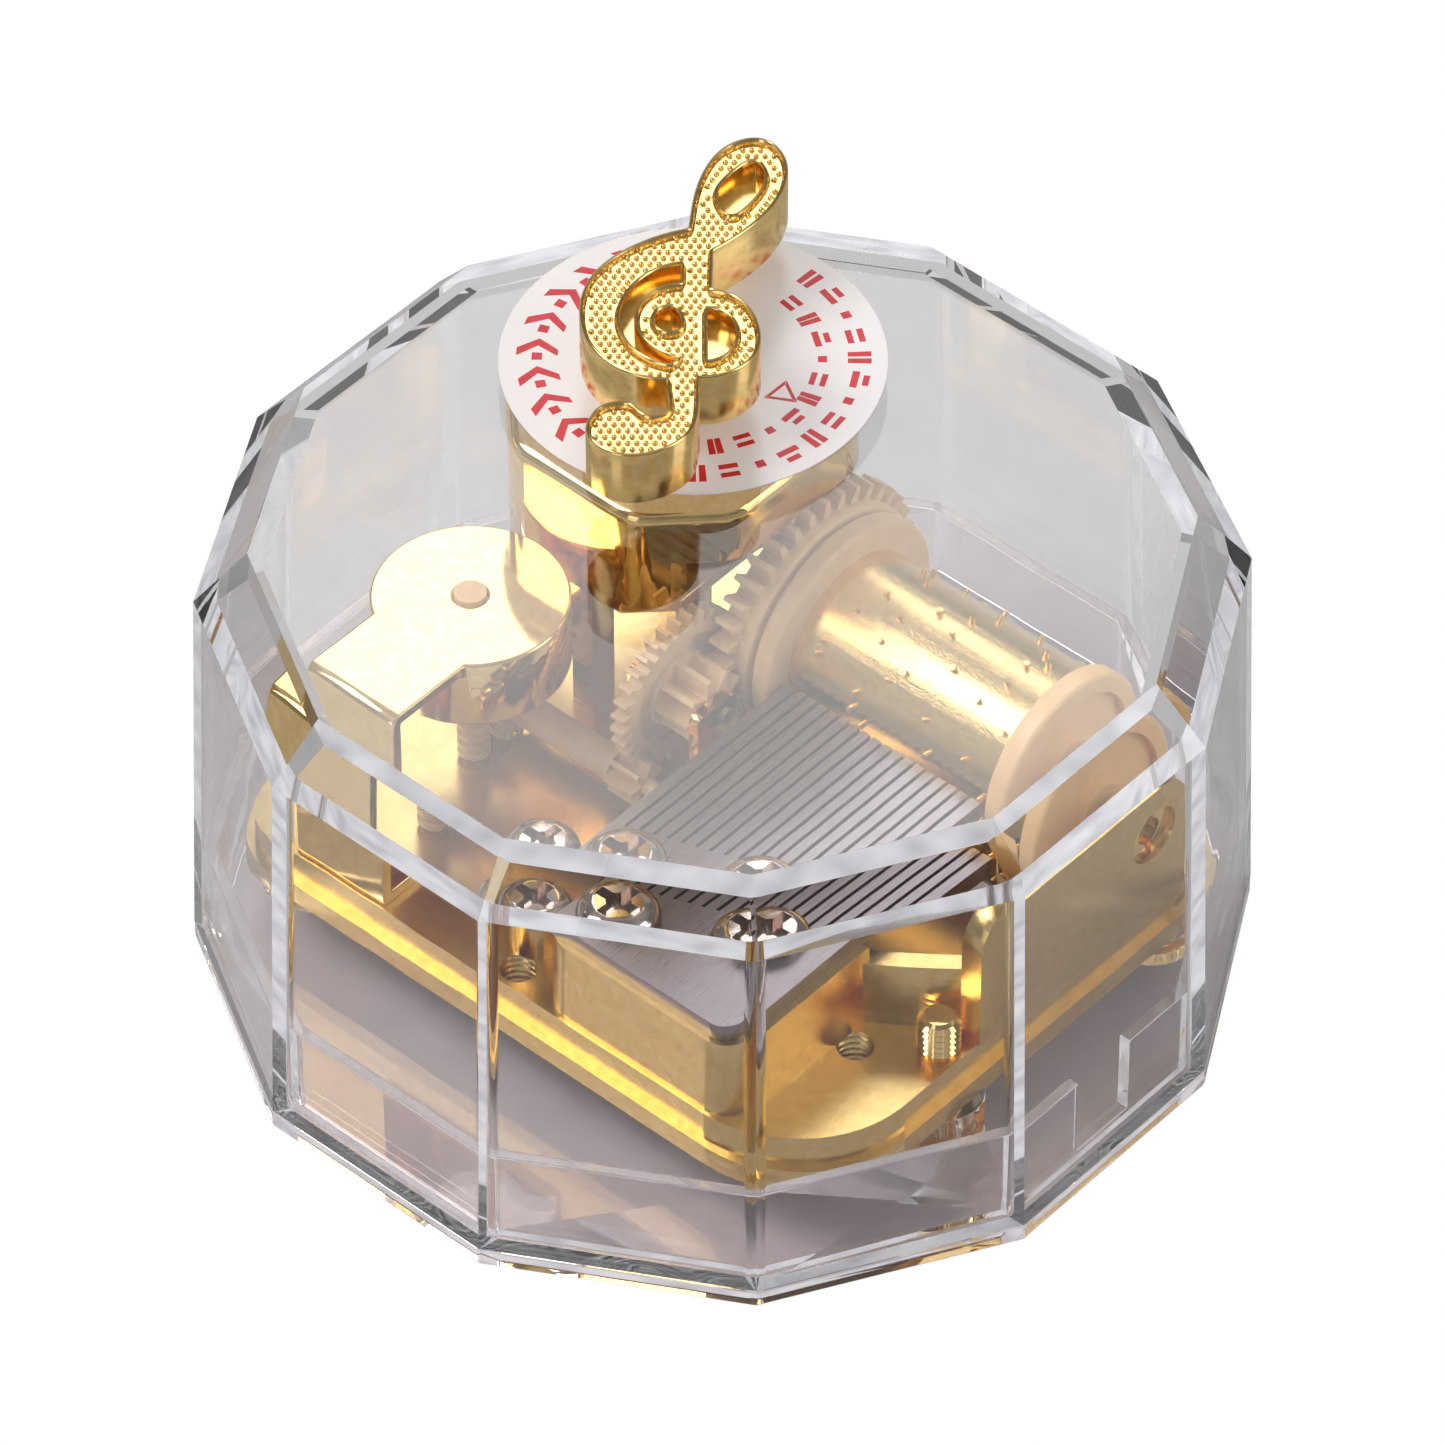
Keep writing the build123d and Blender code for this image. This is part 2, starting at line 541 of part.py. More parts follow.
GEAR_RINGS = [(GEAR_X1, 8.7, 0.9), (GEAR_X1 + 0.9, 7.9, 0.3), (GEAR_X1 + 1.2, 8.5, 1.5)]
with BuildPart() as drum_gear:
    with BuildSketch(x_plane(GEAR_X0, DRUM_Y, DRUM_Z)):
        gear_outline(DRUM_PITCH_R, DRUM_TEETH, GEAR_DEPTH)
    extrude(amount=GEAR_X1 - GEAR_X0)
    for x, radius, width in GEAR_RINGS:
        with BuildSketch(x_plane(x, DRUM_Y, DRUM_Z)):
            Circle(radius)
        extrude(amount=width)
    round_edges = drum_gear.edges().filter_by(GeomType.CIRCLE)
    ring_edges = round_edges.filter_by(lambda edge: edge.radius > 8.4)
    fillet(ring_edges.filter_by_position(Axis.X, GEAR_X1 + 0.1, DRUM_X0), radius=0.3)
    with BuildSketch(x_plane(DRUM_X0, DRUM_Y, DRUM_Z)):
        Circle(DRUM_R - DRUM_WALL)
    extrude(amount=1.5)
    # dished face with a raised hub
    with BuildSketch(x_plane(GEAR_X0, DRUM_Y, DRUM_Z)):
        Circle(7.4)
        Circle(2.6, mode=Mode.SUBTRACT)
    extrude(amount=1.0, mode=Mode.SUBTRACT)
    with BuildSketch(x_plane(GEAR_X0, DRUM_Y, DRUM_Z)):
        Circle(DRUM_ARBOR_R)
    extrude(amount=8, mode=Mode.SUBTRACT)
finish(drum_gear, "drum_gear")

with BuildPart() as drum_end_cap:
    with BuildSketch(x_plane(DRUM_X1, DRUM_Y, DRUM_Z)):
        Circle(CAP_R)
    extrude(amount=CAP_THICKNESS)
    fillet(drum_end_cap.faces().sort_by(Axis.X)[-1].edges(), radius=0.35)
    with BuildSketch(x_plane(DRUM_X1, DRUM_Y, DRUM_Z)):
        Circle(DRUM_R - DRUM_WALL)
    extrude(amount=-1.5)
    with BuildSketch(x_plane(DRUM_X1 + CAP_THICKNESS, DRUM_Y, DRUM_Z)):
        Circle(CAP_R - 1.3)
        Circle(2.2, mode=Mode.SUBTRACT)
    extrude(amount=-0.6, mode=Mode.SUBTRACT)
    with BuildSketch(x_plane(DRUM_X1 - 2, DRUM_Y, DRUM_Z)):
        Circle(DRUM_ARBOR_R)
    extrude(amount=5, mode=Mode.SUBTRACT)
finish(drum_end_cap, "drum_end_cap")

BRACKET_X = -6.8
ARBOR_END_X = 24.6
with BuildPart() as drum_arbor:
    with BuildSketch(x_plane(BRACKET_X, DRUM_Y, DRUM_Z)):
        Circle(DRUM_ARBOR_R)
    extrude(amount=ARBOR_END_X - BRACKET_X)
finish(drum_arbor, "drum_arbor")

RUNNING_GAP = 0.05
WALL_X0 = 24.4
BUSH_X0, BUSH_X1, BUSH_R = 21.2, 25.6, 2.2


def bracket(x, thickness, y0, y1, top_z, foot, bores):
    """Upright plate across X, its foot running out to x = foot, with bores given as (y, z, radius)."""
    mid = (y0 + y1) / 2
    height = top_z - BED_TOP
    with BuildSketch(x_plane(x, mid, BED_TOP)) as plate:
        with Locations((0, height / 2)):
            RectangleRounded(y1 - y0, height, 0.6)
        with Locations((0, 0.6)):
            Rectangle(y1 - y0, 1.2)
    extrude(plate.sketch, amount=thickness)
    with BuildSketch(Plane.XY.offset(BED_TOP)) as flange:
        with Locations(((x + thickness / 2 + foot) / 2, mid)):
            Rectangle(abs(foot - x - thickness / 2), y1 - y0)
    extrude(flange.sketch, amount=0.9)
    for y, z, radius in bores:
        with BuildSketch(x_plane(x - 0.5, y, z)) as bore:
            Circle(radius)
        extrude(bore.sketch, amount=thickness + 1, mode=Mode.SUBTRACT)


with BuildPart() as drum_bracket:
    bracket(BRACKET_X, 1.2, DRUM_Y - 2.4, DRUM_Y + 2.4, 19.4, BRACKET_X - 2.6, [
        (DRUM_Y, DRUM_Z, DRUM_ARBOR_R + RUNNING_GAP)])
finish(drum_bracket, "drum_bracket")

with BuildPart() as bearing_screw:
    with BuildSketch(x_plane(BUSH_X0, DRUM_Y, DRUM_Z)):
        Circle(BUSH_R - 0.02)
    extrude(amount=BUSH_X1 - BUSH_X0)
    for groove in range(8):
        with BuildSketch(x_plane(BUSH_X0 + 0.2 + 0.38 * groove, DRUM_Y, DRUM_Z)):
            Circle(BUSH_R + 0.1)
            Circle(BUSH_R - 0.2, mode=Mode.SUBTRACT)
        extrude(amount=0.16, mode=Mode.SUBTRACT)
    with BuildSketch(x_plane(BUSH_X0, DRUM_Y, DRUM_Z)):
        Circle(DRUM_ARBOR_R + RUNNING_GAP)
    extrude(amount=BUSH_X1, mode=Mode.SUBTRACT)
    with BuildSketch(x_plane(BUSH_X1, DRUM_Y, DRUM_Z)):
        Rectangle(0.7, 2 * BUSH_R + 1)
    extrude(amount=-0.7, mode=Mode.SUBTRACT)
finish(bearing_screw, "bearing_screw")

# ---------------------------------------------------------------- gear train
mesh_span = hypot(SECOND_Y - INTERMEDIATE_Y, SECOND_Z - INTERMEDIATE_Z) - MESH_GAP
WHEEL_PITCH_R = mesh_span * WHEEL_TEETH / (WHEEL_TEETH + SMALL_PINION_TEETH)
SMALL_PINION_PITCH_R = mesh_span - WHEEL_PITCH_R
mesh_angle = atan2(SECOND_Z - INTERMEDIATE_Z, SECOND_Y - INTERMEDIATE_Y) * 180 / pi
PINION_BRACKET_X = -1.1
THIN_ARBOR_R = 0.6
with BuildPart() as intermediate_wheel:
    with BuildSketch(x_plane(WHEEL_X0, INTERMEDIATE_Y, INTERMEDIATE_Z)):
        gear_outline(WHEEL_PITCH_R, WHEEL_TEETH, WHEEL_DEPTH, phase=mesh_angle)
    extrude(amount=WHEEL_X1 - WHEEL_X0)
    with BuildSketch(x_plane(WHEEL_X1, INTERMEDIATE_Y, INTERMEDIATE_Z)):
        Circle(WHEEL_PITCH_R - 1.4)
        Circle(2.9, mode=Mode.SUBTRACT)
    extrude(amount=-0.5, mode=Mode.SUBTRACT)
    with BuildSketch(x_plane(WHEEL_X1 - 0.2, INTERMEDIATE_Y, INTERMEDIATE_Z)):
        gear_outline(PINION_PITCH_R, PINION_TEETH, GEAR_DEPTH, phase=180 / PINION_TEETH)
    extrude(amount=PINION_BRACKET_X - 0.3 - WHEEL_X1 + 0.2)
    with BuildSketch(x_plane(WHEEL_X0, INTERMEDIATE_Y, INTERMEDIATE_Z)):
        Circle(THIN_ARBOR_R)
    extrude(amount=9, mode=Mode.SUBTRACT)
finish(intermediate_wheel, "intermediate_wheel")

WHEEL_BRACKET_X = -7.2
with BuildPart() as intermediate_arbor:
    with BuildSketch(x_plane(WHEEL_BRACKET_X - 0.2, INTERMEDIATE_Y, INTERMEDIATE_Z)):
        Circle(THIN_ARBOR_R)
    extrude(amount=PINION_BRACKET_X + 1.0 - WHEEL_BRACKET_X + 0.2)
finish(intermediate_arbor, "intermediate_arbor")

with BuildPart() as wheel_bracket:
    bracket(WHEEL_BRACKET_X, 1.0, -1.7, 3.0, 18.7, WHEEL_BRACKET_X - 2.4, [
        (INTERMEDIATE_Y, INTERMEDIATE_Z, THIN_ARBOR_R + RUNNING_GAP)])
finish(wheel_bracket, "wheel_bracket")

with BuildPart() as pinion_bracket:
    bracket(PINION_BRACKET_X, 0.8, -2.3, 1.7, 18.5, 0.9, [])
    with BuildSketch(x_plane(PINION_BRACKET_X, -4.0, BED_TOP)):
        with Locations((0, 1.95)):
            RectangleRounded(4.0, 3.9, 0.5)
    extrude(amount=0.8)
    for y, z in [(INTERMEDIATE_Y, INTERMEDIATE_Z), (SECOND_Y, SECOND_Z)]:
        with BuildSketch(x_plane(PINION_BRACKET_X - 0.5, y, z)):
            Circle(THIN_ARBOR_R + RUNNING_GAP)
        extrude(amount=2, mode=Mode.SUBTRACT)
finish(pinion_bracket, "pinion_bracket")

WORM_R = 1.15
WORM_GAP = 0.12
WORM_WHEEL_TIP_R = SECOND_Y - GOVERNOR_Y - WORM_R - WORM_GAP
WORM_WHEEL_DEPTH = 0.7
WORM_WHEEL_WIDTH = 1.6
LEFT_BRACKET_X = -18.0
with BuildPart() as worm_wheel:
    with BuildSketch(x_plane(-5.8, SECOND_Y, SECOND_Z)):
        gear_outline(
            SMALL_PINION_PITCH_R, SMALL_PINION_TEETH, WHEEL_DEPTH,
            phase=mesh_angle + 180 + 180 / SMALL_PINION_TEETH)
    extrude(amount=2.6)
    with BuildSketch(x_plane(GOVERNOR_X - 1.2, SECOND_Y, SECOND_Z)):
        Circle(1.2)
    extrude(amount=-5.9 - GOVERNOR_X + 1.2)
    with BuildSketch(x_plane(GOVERNOR_X - WORM_WHEEL_WIDTH / 2, SECOND_Y, SECOND_Z)):
        gear_outline(WORM_WHEEL_TIP_R - WORM_WHEEL_DEPTH / 2, WORM_WHEEL_TEETH, WORM_WHEEL_DEPTH)
    extrude(amount=WORM_WHEEL_WIDTH)
    with BuildSketch(x_plane(LEFT_BRACKET_X, SECOND_Y, SECOND_Z)):
        Circle(THIN_ARBOR_R)
    extrude(amount=PINION_BRACKET_X + 0.7 - LEFT_BRACKET_X)
finish(worm_wheel, "worm_wheel")

with BuildPart() as worm_wheel_bracket:
    bracket(LEFT_BRACKET_X, 0.9, SECOND_Y - 1.9, SECOND_Y + 1.9, 14.0, LEFT_BRACKET_X - 1.8, [
        (SECOND_Y, SECOND_Z, THIN_ARBOR_R + RUNNING_GAP)])
finish(worm_wheel_bracket, "worm_wheel_bracket")

# ---------------------------------------------------------------- governor
WORM_Z0, WORM_Z1 = 9.9, 14.6
WORM_CORE_R = 0.8
THREAD_LEAD = 0.9
PIN_TOP_R = 1.1
GOVERNOR_SHAFT = [
    (BED_TOP - 1.2, BED_TOP + 0.1, 0.5),
    (BED_TOP + 0.1, 23.6, WORM_CORE_R),
    (23.6, COVER_TOP + 0.3, PIN_TOP_R),
]
with BuildPart() as governor_worm:
    for z0, z1, radius in GOVERNOR_SHAFT:
        with BuildSketch(Plane.XY.offset(z0)):
            with Locations((GOVERNOR_X, GOVERNOR_Y)):
                Circle(radius)
        extrude(amount=z1 - z0)
    for ring in range(5):
        with BuildSketch(Plane.XY.offset(WORM_Z0 + 0.2 + THREAD_LEAD * ring)):
            with Locations((GOVERNOR_X, GOVERNOR_Y)):
                Circle(WORM_R)
        extrude(amount=0.4)
finish(governor_worm, "governor_worm")

FAN_R = 5.3
FAN_Z0, FAN_Z1 = 19.7, 23.2
with BuildPart() as governor_fan:
    with BuildSketch(Plane.XY.offset(FAN_Z0)):
        with Locations((GOVERNOR_X, GOVERNOR_Y)):
            Circle(1.6)
    extrude(amount=1.2)
    with BuildSketch(Plane.XY.offset(FAN_Z0)):
        with Locations((GOVERNOR_X, GOVERNOR_Y)):
            Rectangle(2 * FAN_R, 0.35)
    extrude(amount=FAN_Z1 - FAN_Z0)
    with BuildSketch(Plane.XY.offset(FAN_Z0)):
        with Locations((GOVERNOR_X, GOVERNOR_Y)):
            Circle(WORM_CORE_R)
    extrude(amount=FAN_Z1, mode=Mode.SUBTRACT)
finish(governor_fan, "governor_fan")

TAB_X, TAB_HALF = -15.2, 4.0
TAB_END_Y = -20.4
SHEET = 0.9
with BuildPart() as governor_cover:
    with BuildSketch(Plane.XY.offset(COVER_BOTTOM)):
        with Locations((GOVERNOR_X, GOVERNOR_Y)):
            Circle(COVER_R)
    extrude(amount=COVER_TOP - COVER_BOTTOM)
    with BuildSketch(Plane.XY.offset(COVER_TOP - SHEET)):
        with Locations((TAB_X, (GOVERNOR_Y + TAB_END_Y) / 2)):
            Rectangle(2 * TAB_HALF, GOVERNOR_Y - TAB_END_Y)
    extrude(amount=SHEET)
    with BuildSketch(Plane.XY.offset(BED_TOP)):
        with Locations((TAB_X, TAB_END_Y + SHEET / 2)):
            Rectangle(2 * TAB_HALF, SHEET)
    extrude(amount=COVER_TOP - BED_TOP)
    with BuildSketch(Plane.XY.offset(BED_TOP)):
        with Locations((TAB_X, TAB_END_Y + 2.2)):
            Rectangle(2 * TAB_HALF, 4.4)
    extrude(amount=SHEET)
    bend = governor_cover.edges().filter_by(Axis.X).filter_by_position(
        Axis.Y, TAB_END_Y - 0.01, TAB_END_Y + 0.01).sort_by(Axis.Z)[-1]
    fillet(bend, radius=0.8)
    with BuildSketch(Plane.XY.offset(COVER_BOTTOM)):
        with Locations((GOVERNOR_X, GOVERNOR_Y)):
            Circle(COVER_R - SHEET)
    extrude(amount=COVER_TOP - SHEET - COVER_BOTTOM, mode=Mode.SUBTRACT)
    with BuildSketch(Plane.XY.offset(COVER_TOP)):
        with Locations((GOVERNOR_X, GOVERNOR_Y)):
            Circle(PIN_TOP_R + RUNNING_GAP)
    extrude(amount=-2, mode=Mode.SUBTRACT)
    with BuildSketch(Plane.XY.offset(BED_TOP)):
        with Locations((TAB_X, TAB_END_Y + 2.7)):
            Circle(0.95)
    extrude(amount=2, mode=Mode.SUBTRACT)
finish(governor_cover, "governor_cover")

POST_X, POST_Y, POST_R = -2.1, -15.8, 2.2
POST_TOP = 14.6
with BuildPart() as governor_screws:
    screw(TAB_X, TAB_END_Y + 2.7, BED_TOP + SHEET, 1.7, 1.0, 0.9, SHEET + 1.6)
    screw(POST_X, POST_Y, POST_TOP, 2.6, 1.8, 1.0, 3.0)
finish(governor_screws, "governor_screws")

# ---------------------------------------------------------------- bedplate
PEDESTAL = [(3.0, -20.4), (18.9, -20.4), (18.9, -6.9), (1.5, -13.2), (1.5, -18.0)]
WALL_Y0, WALL_Y1, WALL_TOP = -4.4, 15.6, 21.0
HOLE_R = 1.6
HOLE_DEPTH = 3.3
BED_HOLES = [(-1.2, -19.0), (19.9, -9.8)]


def bed_outline(inset):
    """Plate outline with a corner of its own size at each end."""
    corners = [
        (BED_X1 - inset, BED_Y0 + inset),
        (BED_X1 - inset, BED_Y1 - inset),
        (BED_X0 + inset, BED_Y1 - inset),
        (BED_X0 + inset, BED_Y0 + inset),
    ]
    with BuildLine() as outline:
        FilletPolyline(*corners, radius=[9.0, 6.5, 6.5, 5.0], close=True)
    make_face(outline.edges())


with BuildPart() as bedplate:
    with BuildSketch(Plane.XY.offset(BED_BOTTOM)):
        bed_outline(0)
    extrude(amount=1.7)
    with BuildSketch(Plane.XY.offset(BED_BOTTOM + 1.7)):
        bed_outline(0.55)
    extrude(amount=BED_TOP - BED_BOTTOM - 1.7)
    with BuildSketch(Plane.XY.offset(BED_TOP)) as pedestal:
        Polygon(*PEDESTAL, align=None)
        fillet(pedestal.vertices().group_by(Axis.Y)[0], radius=PEDESTAL_CORNER_R)
    extrude(amount=COMB_BOTTOM - BED_TOP, taper=1.5)
    with BuildSketch(Plane.XY.offset(BED_TOP)):
        with Locations((POST_X, POST_Y)):
            Circle(POST_R)
    extrude(amount=POST_TOP - BED_TOP)
    # curved web between the pedestal and the right wall
    with BuildSketch(Plane.XY.offset(BED_TOP)):
        with BuildLine() as web:
            ThreePointArc((18.0, -7.6), (21.6, -5.0), (WALL_X0 + 0.6, -2.2))
        trace(web.line, line_width=1.3)
    extrude(amount=5.6)
    # right wall with the drum bearing
    with BuildSketch(x_plane(WALL_X0, (WALL_Y0 + WALL_Y1) / 2, BED_TOP)):
        with Locations((0, (WALL_TOP - BED_TOP) / 2)):
            RectangleRounded(WALL_Y1 - WALL_Y0, WALL_TOP - BED_TOP, 3.0)
        with Locations((0, 2)):
            Rectangle(WALL_Y1 - WALL_Y0, 4)
    extrude(amount=BED_X1 - 0.3 - WALL_X0)
    with BuildSketch(x_plane(WALL_X0, DRUM_Y, DRUM_Z)):
        Circle(BUSH_R)
    extrude(amount=4, mode=Mode.SUBTRACT)
    # opening under the drum and its gear
    with BuildSketch(Plane.XY.offset(BED_BOTTOM)):
        with Locations(((-4.9 + 18.4) / 2, (4.7 + 19.6) / 2)):
            RectangleRounded(18.4 + 4.9, 19.6 - 4.7, 1.5)
    extrude(amount=BED_TOP, mode=Mode.SUBTRACT)
    # pocket under the worm wheel
    with BuildSketch(Plane.XY.offset(BED_TOP)):
        with Locations((GOVERNOR_X, SECOND_Y)):
            RectangleRounded(2.8, 6.2, 0.6)
    extrude(amount=-1.0, mode=Mode.SUBTRACT)
    for x, y in BED_HOLES:
        bore = rising_plane(x, y, BED_TOP - HOLE_DEPTH)
        thread(bore, HOLE_R - THREAD_DEPTH, HOLE_R, HOLE_DEPTH, Mode.SUBTRACT)
    for (x, y), top in zip(STANDOFFS, BASE_SCREW_TOPS):
        with BuildSketch(Plane.XY.offset(BED_BOTTOM)):
            with Locations((x, y)):
                Circle(BASE_SCREW_R)
        extrude(amount=top - BED_BOTTOM, mode=Mode.SUBTRACT)
    for x, y in HOUSING_LEGS[1:]:
        with BuildSketch(Plane.XY.offset(BED_BOTTOM)):
            with Locations((x, y)):
                Circle(1.6)
        extrude(amount=1.2, mode=Mode.SUBTRACT)
        with BuildSketch(Plane.XY.offset(BED_BOTTOM)):
            with Locations((x, y)):
                Circle(0.8)
        extrude(amount=BED_TOP - BED_BOTTOM, mode=Mode.SUBTRACT)
    with BuildSketch(Plane.XY.offset(BED_TOP)):
        with Locations((GOVERNOR_X, GOVERNOR_Y)):
            Circle(0.5 + RUNNING_GAP)
    extrude(amount=-1.5, mode=Mode.SUBTRACT)
    with BuildSketch(Plane.XY.offset(BED_TOP)):
        with Locations((ARBOR_X, ARBOR_Y)):
            Circle(PIVOT_R + RUNNING_GAP)
    extrude(amount=-2.3, mode=Mode.SUBTRACT)
    with BuildSketch(Plane.XY.offset(BED_TOP)):
        with Locations((TAB_X, TAB_END_Y + 2.7)):
            Circle(0.9)
    extrude(amount=-1.7, mode=Mode.SUBTRACT)
    with BuildSketch(Plane.XY.offset(POST_TOP)):
        with Locations((POST_X, POST_Y)):
            Circle(1.0)
    extrude(amount=-3.2, mode=Mode.SUBTRACT)
    with BuildSketch(Plane.XY.offset(COMB_BOTTOM)):
        with Locations(*COMB_SCREWS):
            Circle(1.3)
    extrude(amount=-3.2, mode=Mode.SUBTRACT)
finish(bedplate, "bedplate")

# ---------------------------------------------------------------- comb


def root_y(x):
    """Where the slots end, on a slanted line: low notes have the longest teeth."""
    return ROOT_Y0 + ROOT_SLOPE * (x - COMB_X0)


with BuildPart() as comb:
    with BuildSketch(Plane.XY.offset(COMB_BOTTOM)):
        with Locations(((COMB_X0 + COMB_X1) / 2, (COMB_Y0 + COMB_TIP_Y) / 2)):
            Rectangle(COMB_X1 - COMB_X0, COMB_TIP_Y - COMB_Y0)
    extrude(amount=COMB_TOP - COMB_BOTTOM)
    front_corners = comb.edges().filter_by(Axis.Z).group_by(Axis.Y)[0]
    fillet(front_corners, radius=COMB_CORNER_R)
    tip_edge = comb.edges().filter_by(Axis.X).group_by(Axis.Y)[-1].sort_by(Axis.Z)[0]
    chamfer(tip_edge, length=0.8)
    with BuildSketch(Plane.XY.offset(COMB_BOTTOM)):
        for slot in range(1, TRACKS):
            x = COMB_X0 + slot * tooth_pitch
            with Locations((x, (COMB_TIP_Y + 1 + root_y(x)) / 2)):
                Rectangle(SLOT_WIDTH, COMB_TIP_Y + 1 - root_y(x))
    extrude(amount=COMB_TOP - COMB_BOTTOM, mode=Mode.SUBTRACT)
    with BuildSketch(Plane.XY.offset(COMB_BOTTOM)):
        with Locations(*COMB_SCREWS):
            Circle(1.35)
    extrude(amount=2, mode=Mode.SUBTRACT)
finish(comb, "comb")

with BuildPart() as comb_screws:
    for x, y in COMB_SCREWS:
        screw(x, y, COMB_TOP, 2.9, 2.1, 1.3, COMB_TOP - COMB_BOTTOM + 3.0)
finish(comb_screws, "comb_screws")

WEIGHTED_TEETH = 7
with BuildPart() as comb_weights:
    for index in range(WEIGHTED_TEETH):
        with BuildSketch(Plane.XY.offset(COMB_BOTTOM)):
            with Locations((COMB_X0 + (index + 0.5) * tooth_pitch, 2.6 - 0.2 * index)):
                Rectangle(tooth_pitch - SLOT_WIDTH - 0.06, 3.6 - 0.4 * index)
        extrude(amount=-1.6 + 0.12 * index)
finish(comb_weights, "comb_weights")
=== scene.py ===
import math

import bmesh
import bpy
import numpy as np
from mathutils import Matrix, Vector, geometry


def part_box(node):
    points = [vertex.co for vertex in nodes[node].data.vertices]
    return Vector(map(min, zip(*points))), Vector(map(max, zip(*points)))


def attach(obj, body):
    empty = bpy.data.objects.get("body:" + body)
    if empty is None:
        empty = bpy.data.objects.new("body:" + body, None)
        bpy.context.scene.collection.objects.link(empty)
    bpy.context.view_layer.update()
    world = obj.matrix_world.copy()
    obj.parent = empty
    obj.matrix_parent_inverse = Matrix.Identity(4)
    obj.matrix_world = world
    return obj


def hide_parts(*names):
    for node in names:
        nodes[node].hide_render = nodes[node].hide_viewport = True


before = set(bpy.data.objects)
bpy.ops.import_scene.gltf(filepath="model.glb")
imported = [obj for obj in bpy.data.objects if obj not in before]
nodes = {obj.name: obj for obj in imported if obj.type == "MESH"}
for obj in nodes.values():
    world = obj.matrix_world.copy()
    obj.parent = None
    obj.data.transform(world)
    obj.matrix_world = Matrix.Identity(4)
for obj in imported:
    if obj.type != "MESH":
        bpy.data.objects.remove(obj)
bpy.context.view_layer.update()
scene = bpy.context.scene
MM = 0.001


# ---------------------------------------------------------------- frame helpers
def low(node):
    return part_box(node)[0]


def high(node):
    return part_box(node)[1]


def centre(node):
    lo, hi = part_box(node)
    return (Vector(lo) + Vector(hi)) / 2


# ---------------------------------------------------------------- camera
AZIMUTH, ELEVATION = math.radians(41.6), math.radians(45.0)
DISTANCE = 0.675
target = Vector((0, 0, 0.01716))
ray = Vector((
    math.sin(AZIMUTH) * math.cos(ELEVATION),
    -math.cos(AZIMUTH) * math.cos(ELEVATION),
    math.sin(ELEVATION),
))
camera_data = bpy.data.cameras.new("camera")
camera_data.lens = 249.85
camera_data.sensor_width = 36.0
camera_data.shift_x = -0.0008
camera_data.shift_y = 0.0089
camera_data.clip_end = 20
camera = bpy.data.objects.new("camera", camera_data)
camera.location = target + DISTANCE * ray
camera.rotation_euler = ray.to_track_quat("Z", "Y").to_euler()
scene.collection.objects.link(camera)
scene.camera = camera

# ---------------------------------------------------------------- light and colour
scene.view_settings.view_transform = "Standard"
scene.view_settings.look = "None"
# light crosses the clear walls many times before it leaves them
scene.cycles.glossy_bounces = 12

# brightness of the studio at each height, from the horizon (0) to straight up (1)
SKY = [(0.0, 0.50), (0.10, 0.22), (0.48, 0.12), (0.66, 0.26), (0.84, 0.50), (1.0, 0.25)]


def studio():
    world = bpy.data.worlds.new("studio")
    scene.world = world
    world.use_nodes = True
    sky = world.node_tree
    sky.nodes.clear()
    direction = sky.nodes.new("ShaderNodeTexCoord")
    split = sky.nodes.new("ShaderNodeSeparateXYZ")
    ramp = sky.nodes.new("ShaderNodeValToRGB")
    backing = sky.nodes.new("ShaderNodeBackground")
    sky_out = sky.nodes.new("ShaderNodeOutputWorld")
    sky.links.new(direction.outputs["Generated"], split.inputs[0])
    sky.links.new(split.outputs["Z"], ramp.inputs["Fac"])
    sky.links.new(ramp.outputs["Color"], backing.inputs["Color"])
    sky.links.new(backing.outputs[0], sky_out.inputs[0])
    while len(ramp.color_ramp.elements) < len(SKY):
        ramp.color_ramp.elements.new(0.5)
    for element, (place, level) in zip(ramp.color_ramp.elements, SKY):
        element.position = place
        element.color = (level, level * 0.99, level * 0.98, 1)


def softbox(name, place, size, power, aim=(0, 0, 0.015)):
    data = bpy.data.lights.new(name, "AREA")
    data.shape = "RECTANGLE"
    data.size, data.size_y = size
    data.energy = power
    light = bpy.data.objects.new(name, data)
    light.location = place
    light.rotation_euler = (Vector(place) - Vector(aim)).to_track_quat("Z", "Y").to_euler()
    scene.collection.objects.link(light)


studio()
softbox("key_light", (-0.42, -0.34, 0.68), (0.42, 0.42), 2.8)
softbox("mirror_light", 0.9 * Vector((-ray.x, -ray.y, ray.z)), (0.28, 0.28), 0.62)
softbox("right_light", (0.62, 0.35, 0.38), (0.30, 0.55), 1.2)
softbox("front_light", (0.10, -0.75, 0.30), (0.30, 0.40), 0.5)

# ---------------------------------------------------------------- floor
bm = bmesh.new()
bmesh.ops.create_grid(bm, x_segments=8, y_segments=8, size=4.0)
floor_mesh = bpy.data.meshes.new("floor")
bm.to_mesh(floor_mesh)
bm.free()
floor = bpy.data.objects.new("floor", floor_mesh)
floor.location.z = -0.0001
scene.collection.objects.link(floor)


# ---------------------------------------------------------------- materials
def new_material(name):
    material = bpy.data.materials.new(name)
    material.use_nodes = True
    tree = material.node_tree
    shader = tree.nodes["Principled BSDF"]
    return material, tree, shader


def texture(tree, kind, scale, **settings):
    """A texture node reading object coordinates, with the object's own scale in metres."""
    place = tree.nodes.new("ShaderNodeTexCoord")
    mapping = tree.nodes.new("ShaderNodeMapping")
    mapping.inputs["Scale"].default_value = scale if isinstance(scale, tuple) else (scale,) * 3
    node = tree.nodes.new(kind)
    tree.links.new(place.outputs["Object"], mapping.inputs["Vector"])
    tree.links.new(mapping.outputs["Vector"], node.inputs["Vector"])
    for key, value in settings.items():
        node.inputs[key].default_value = value
    return node


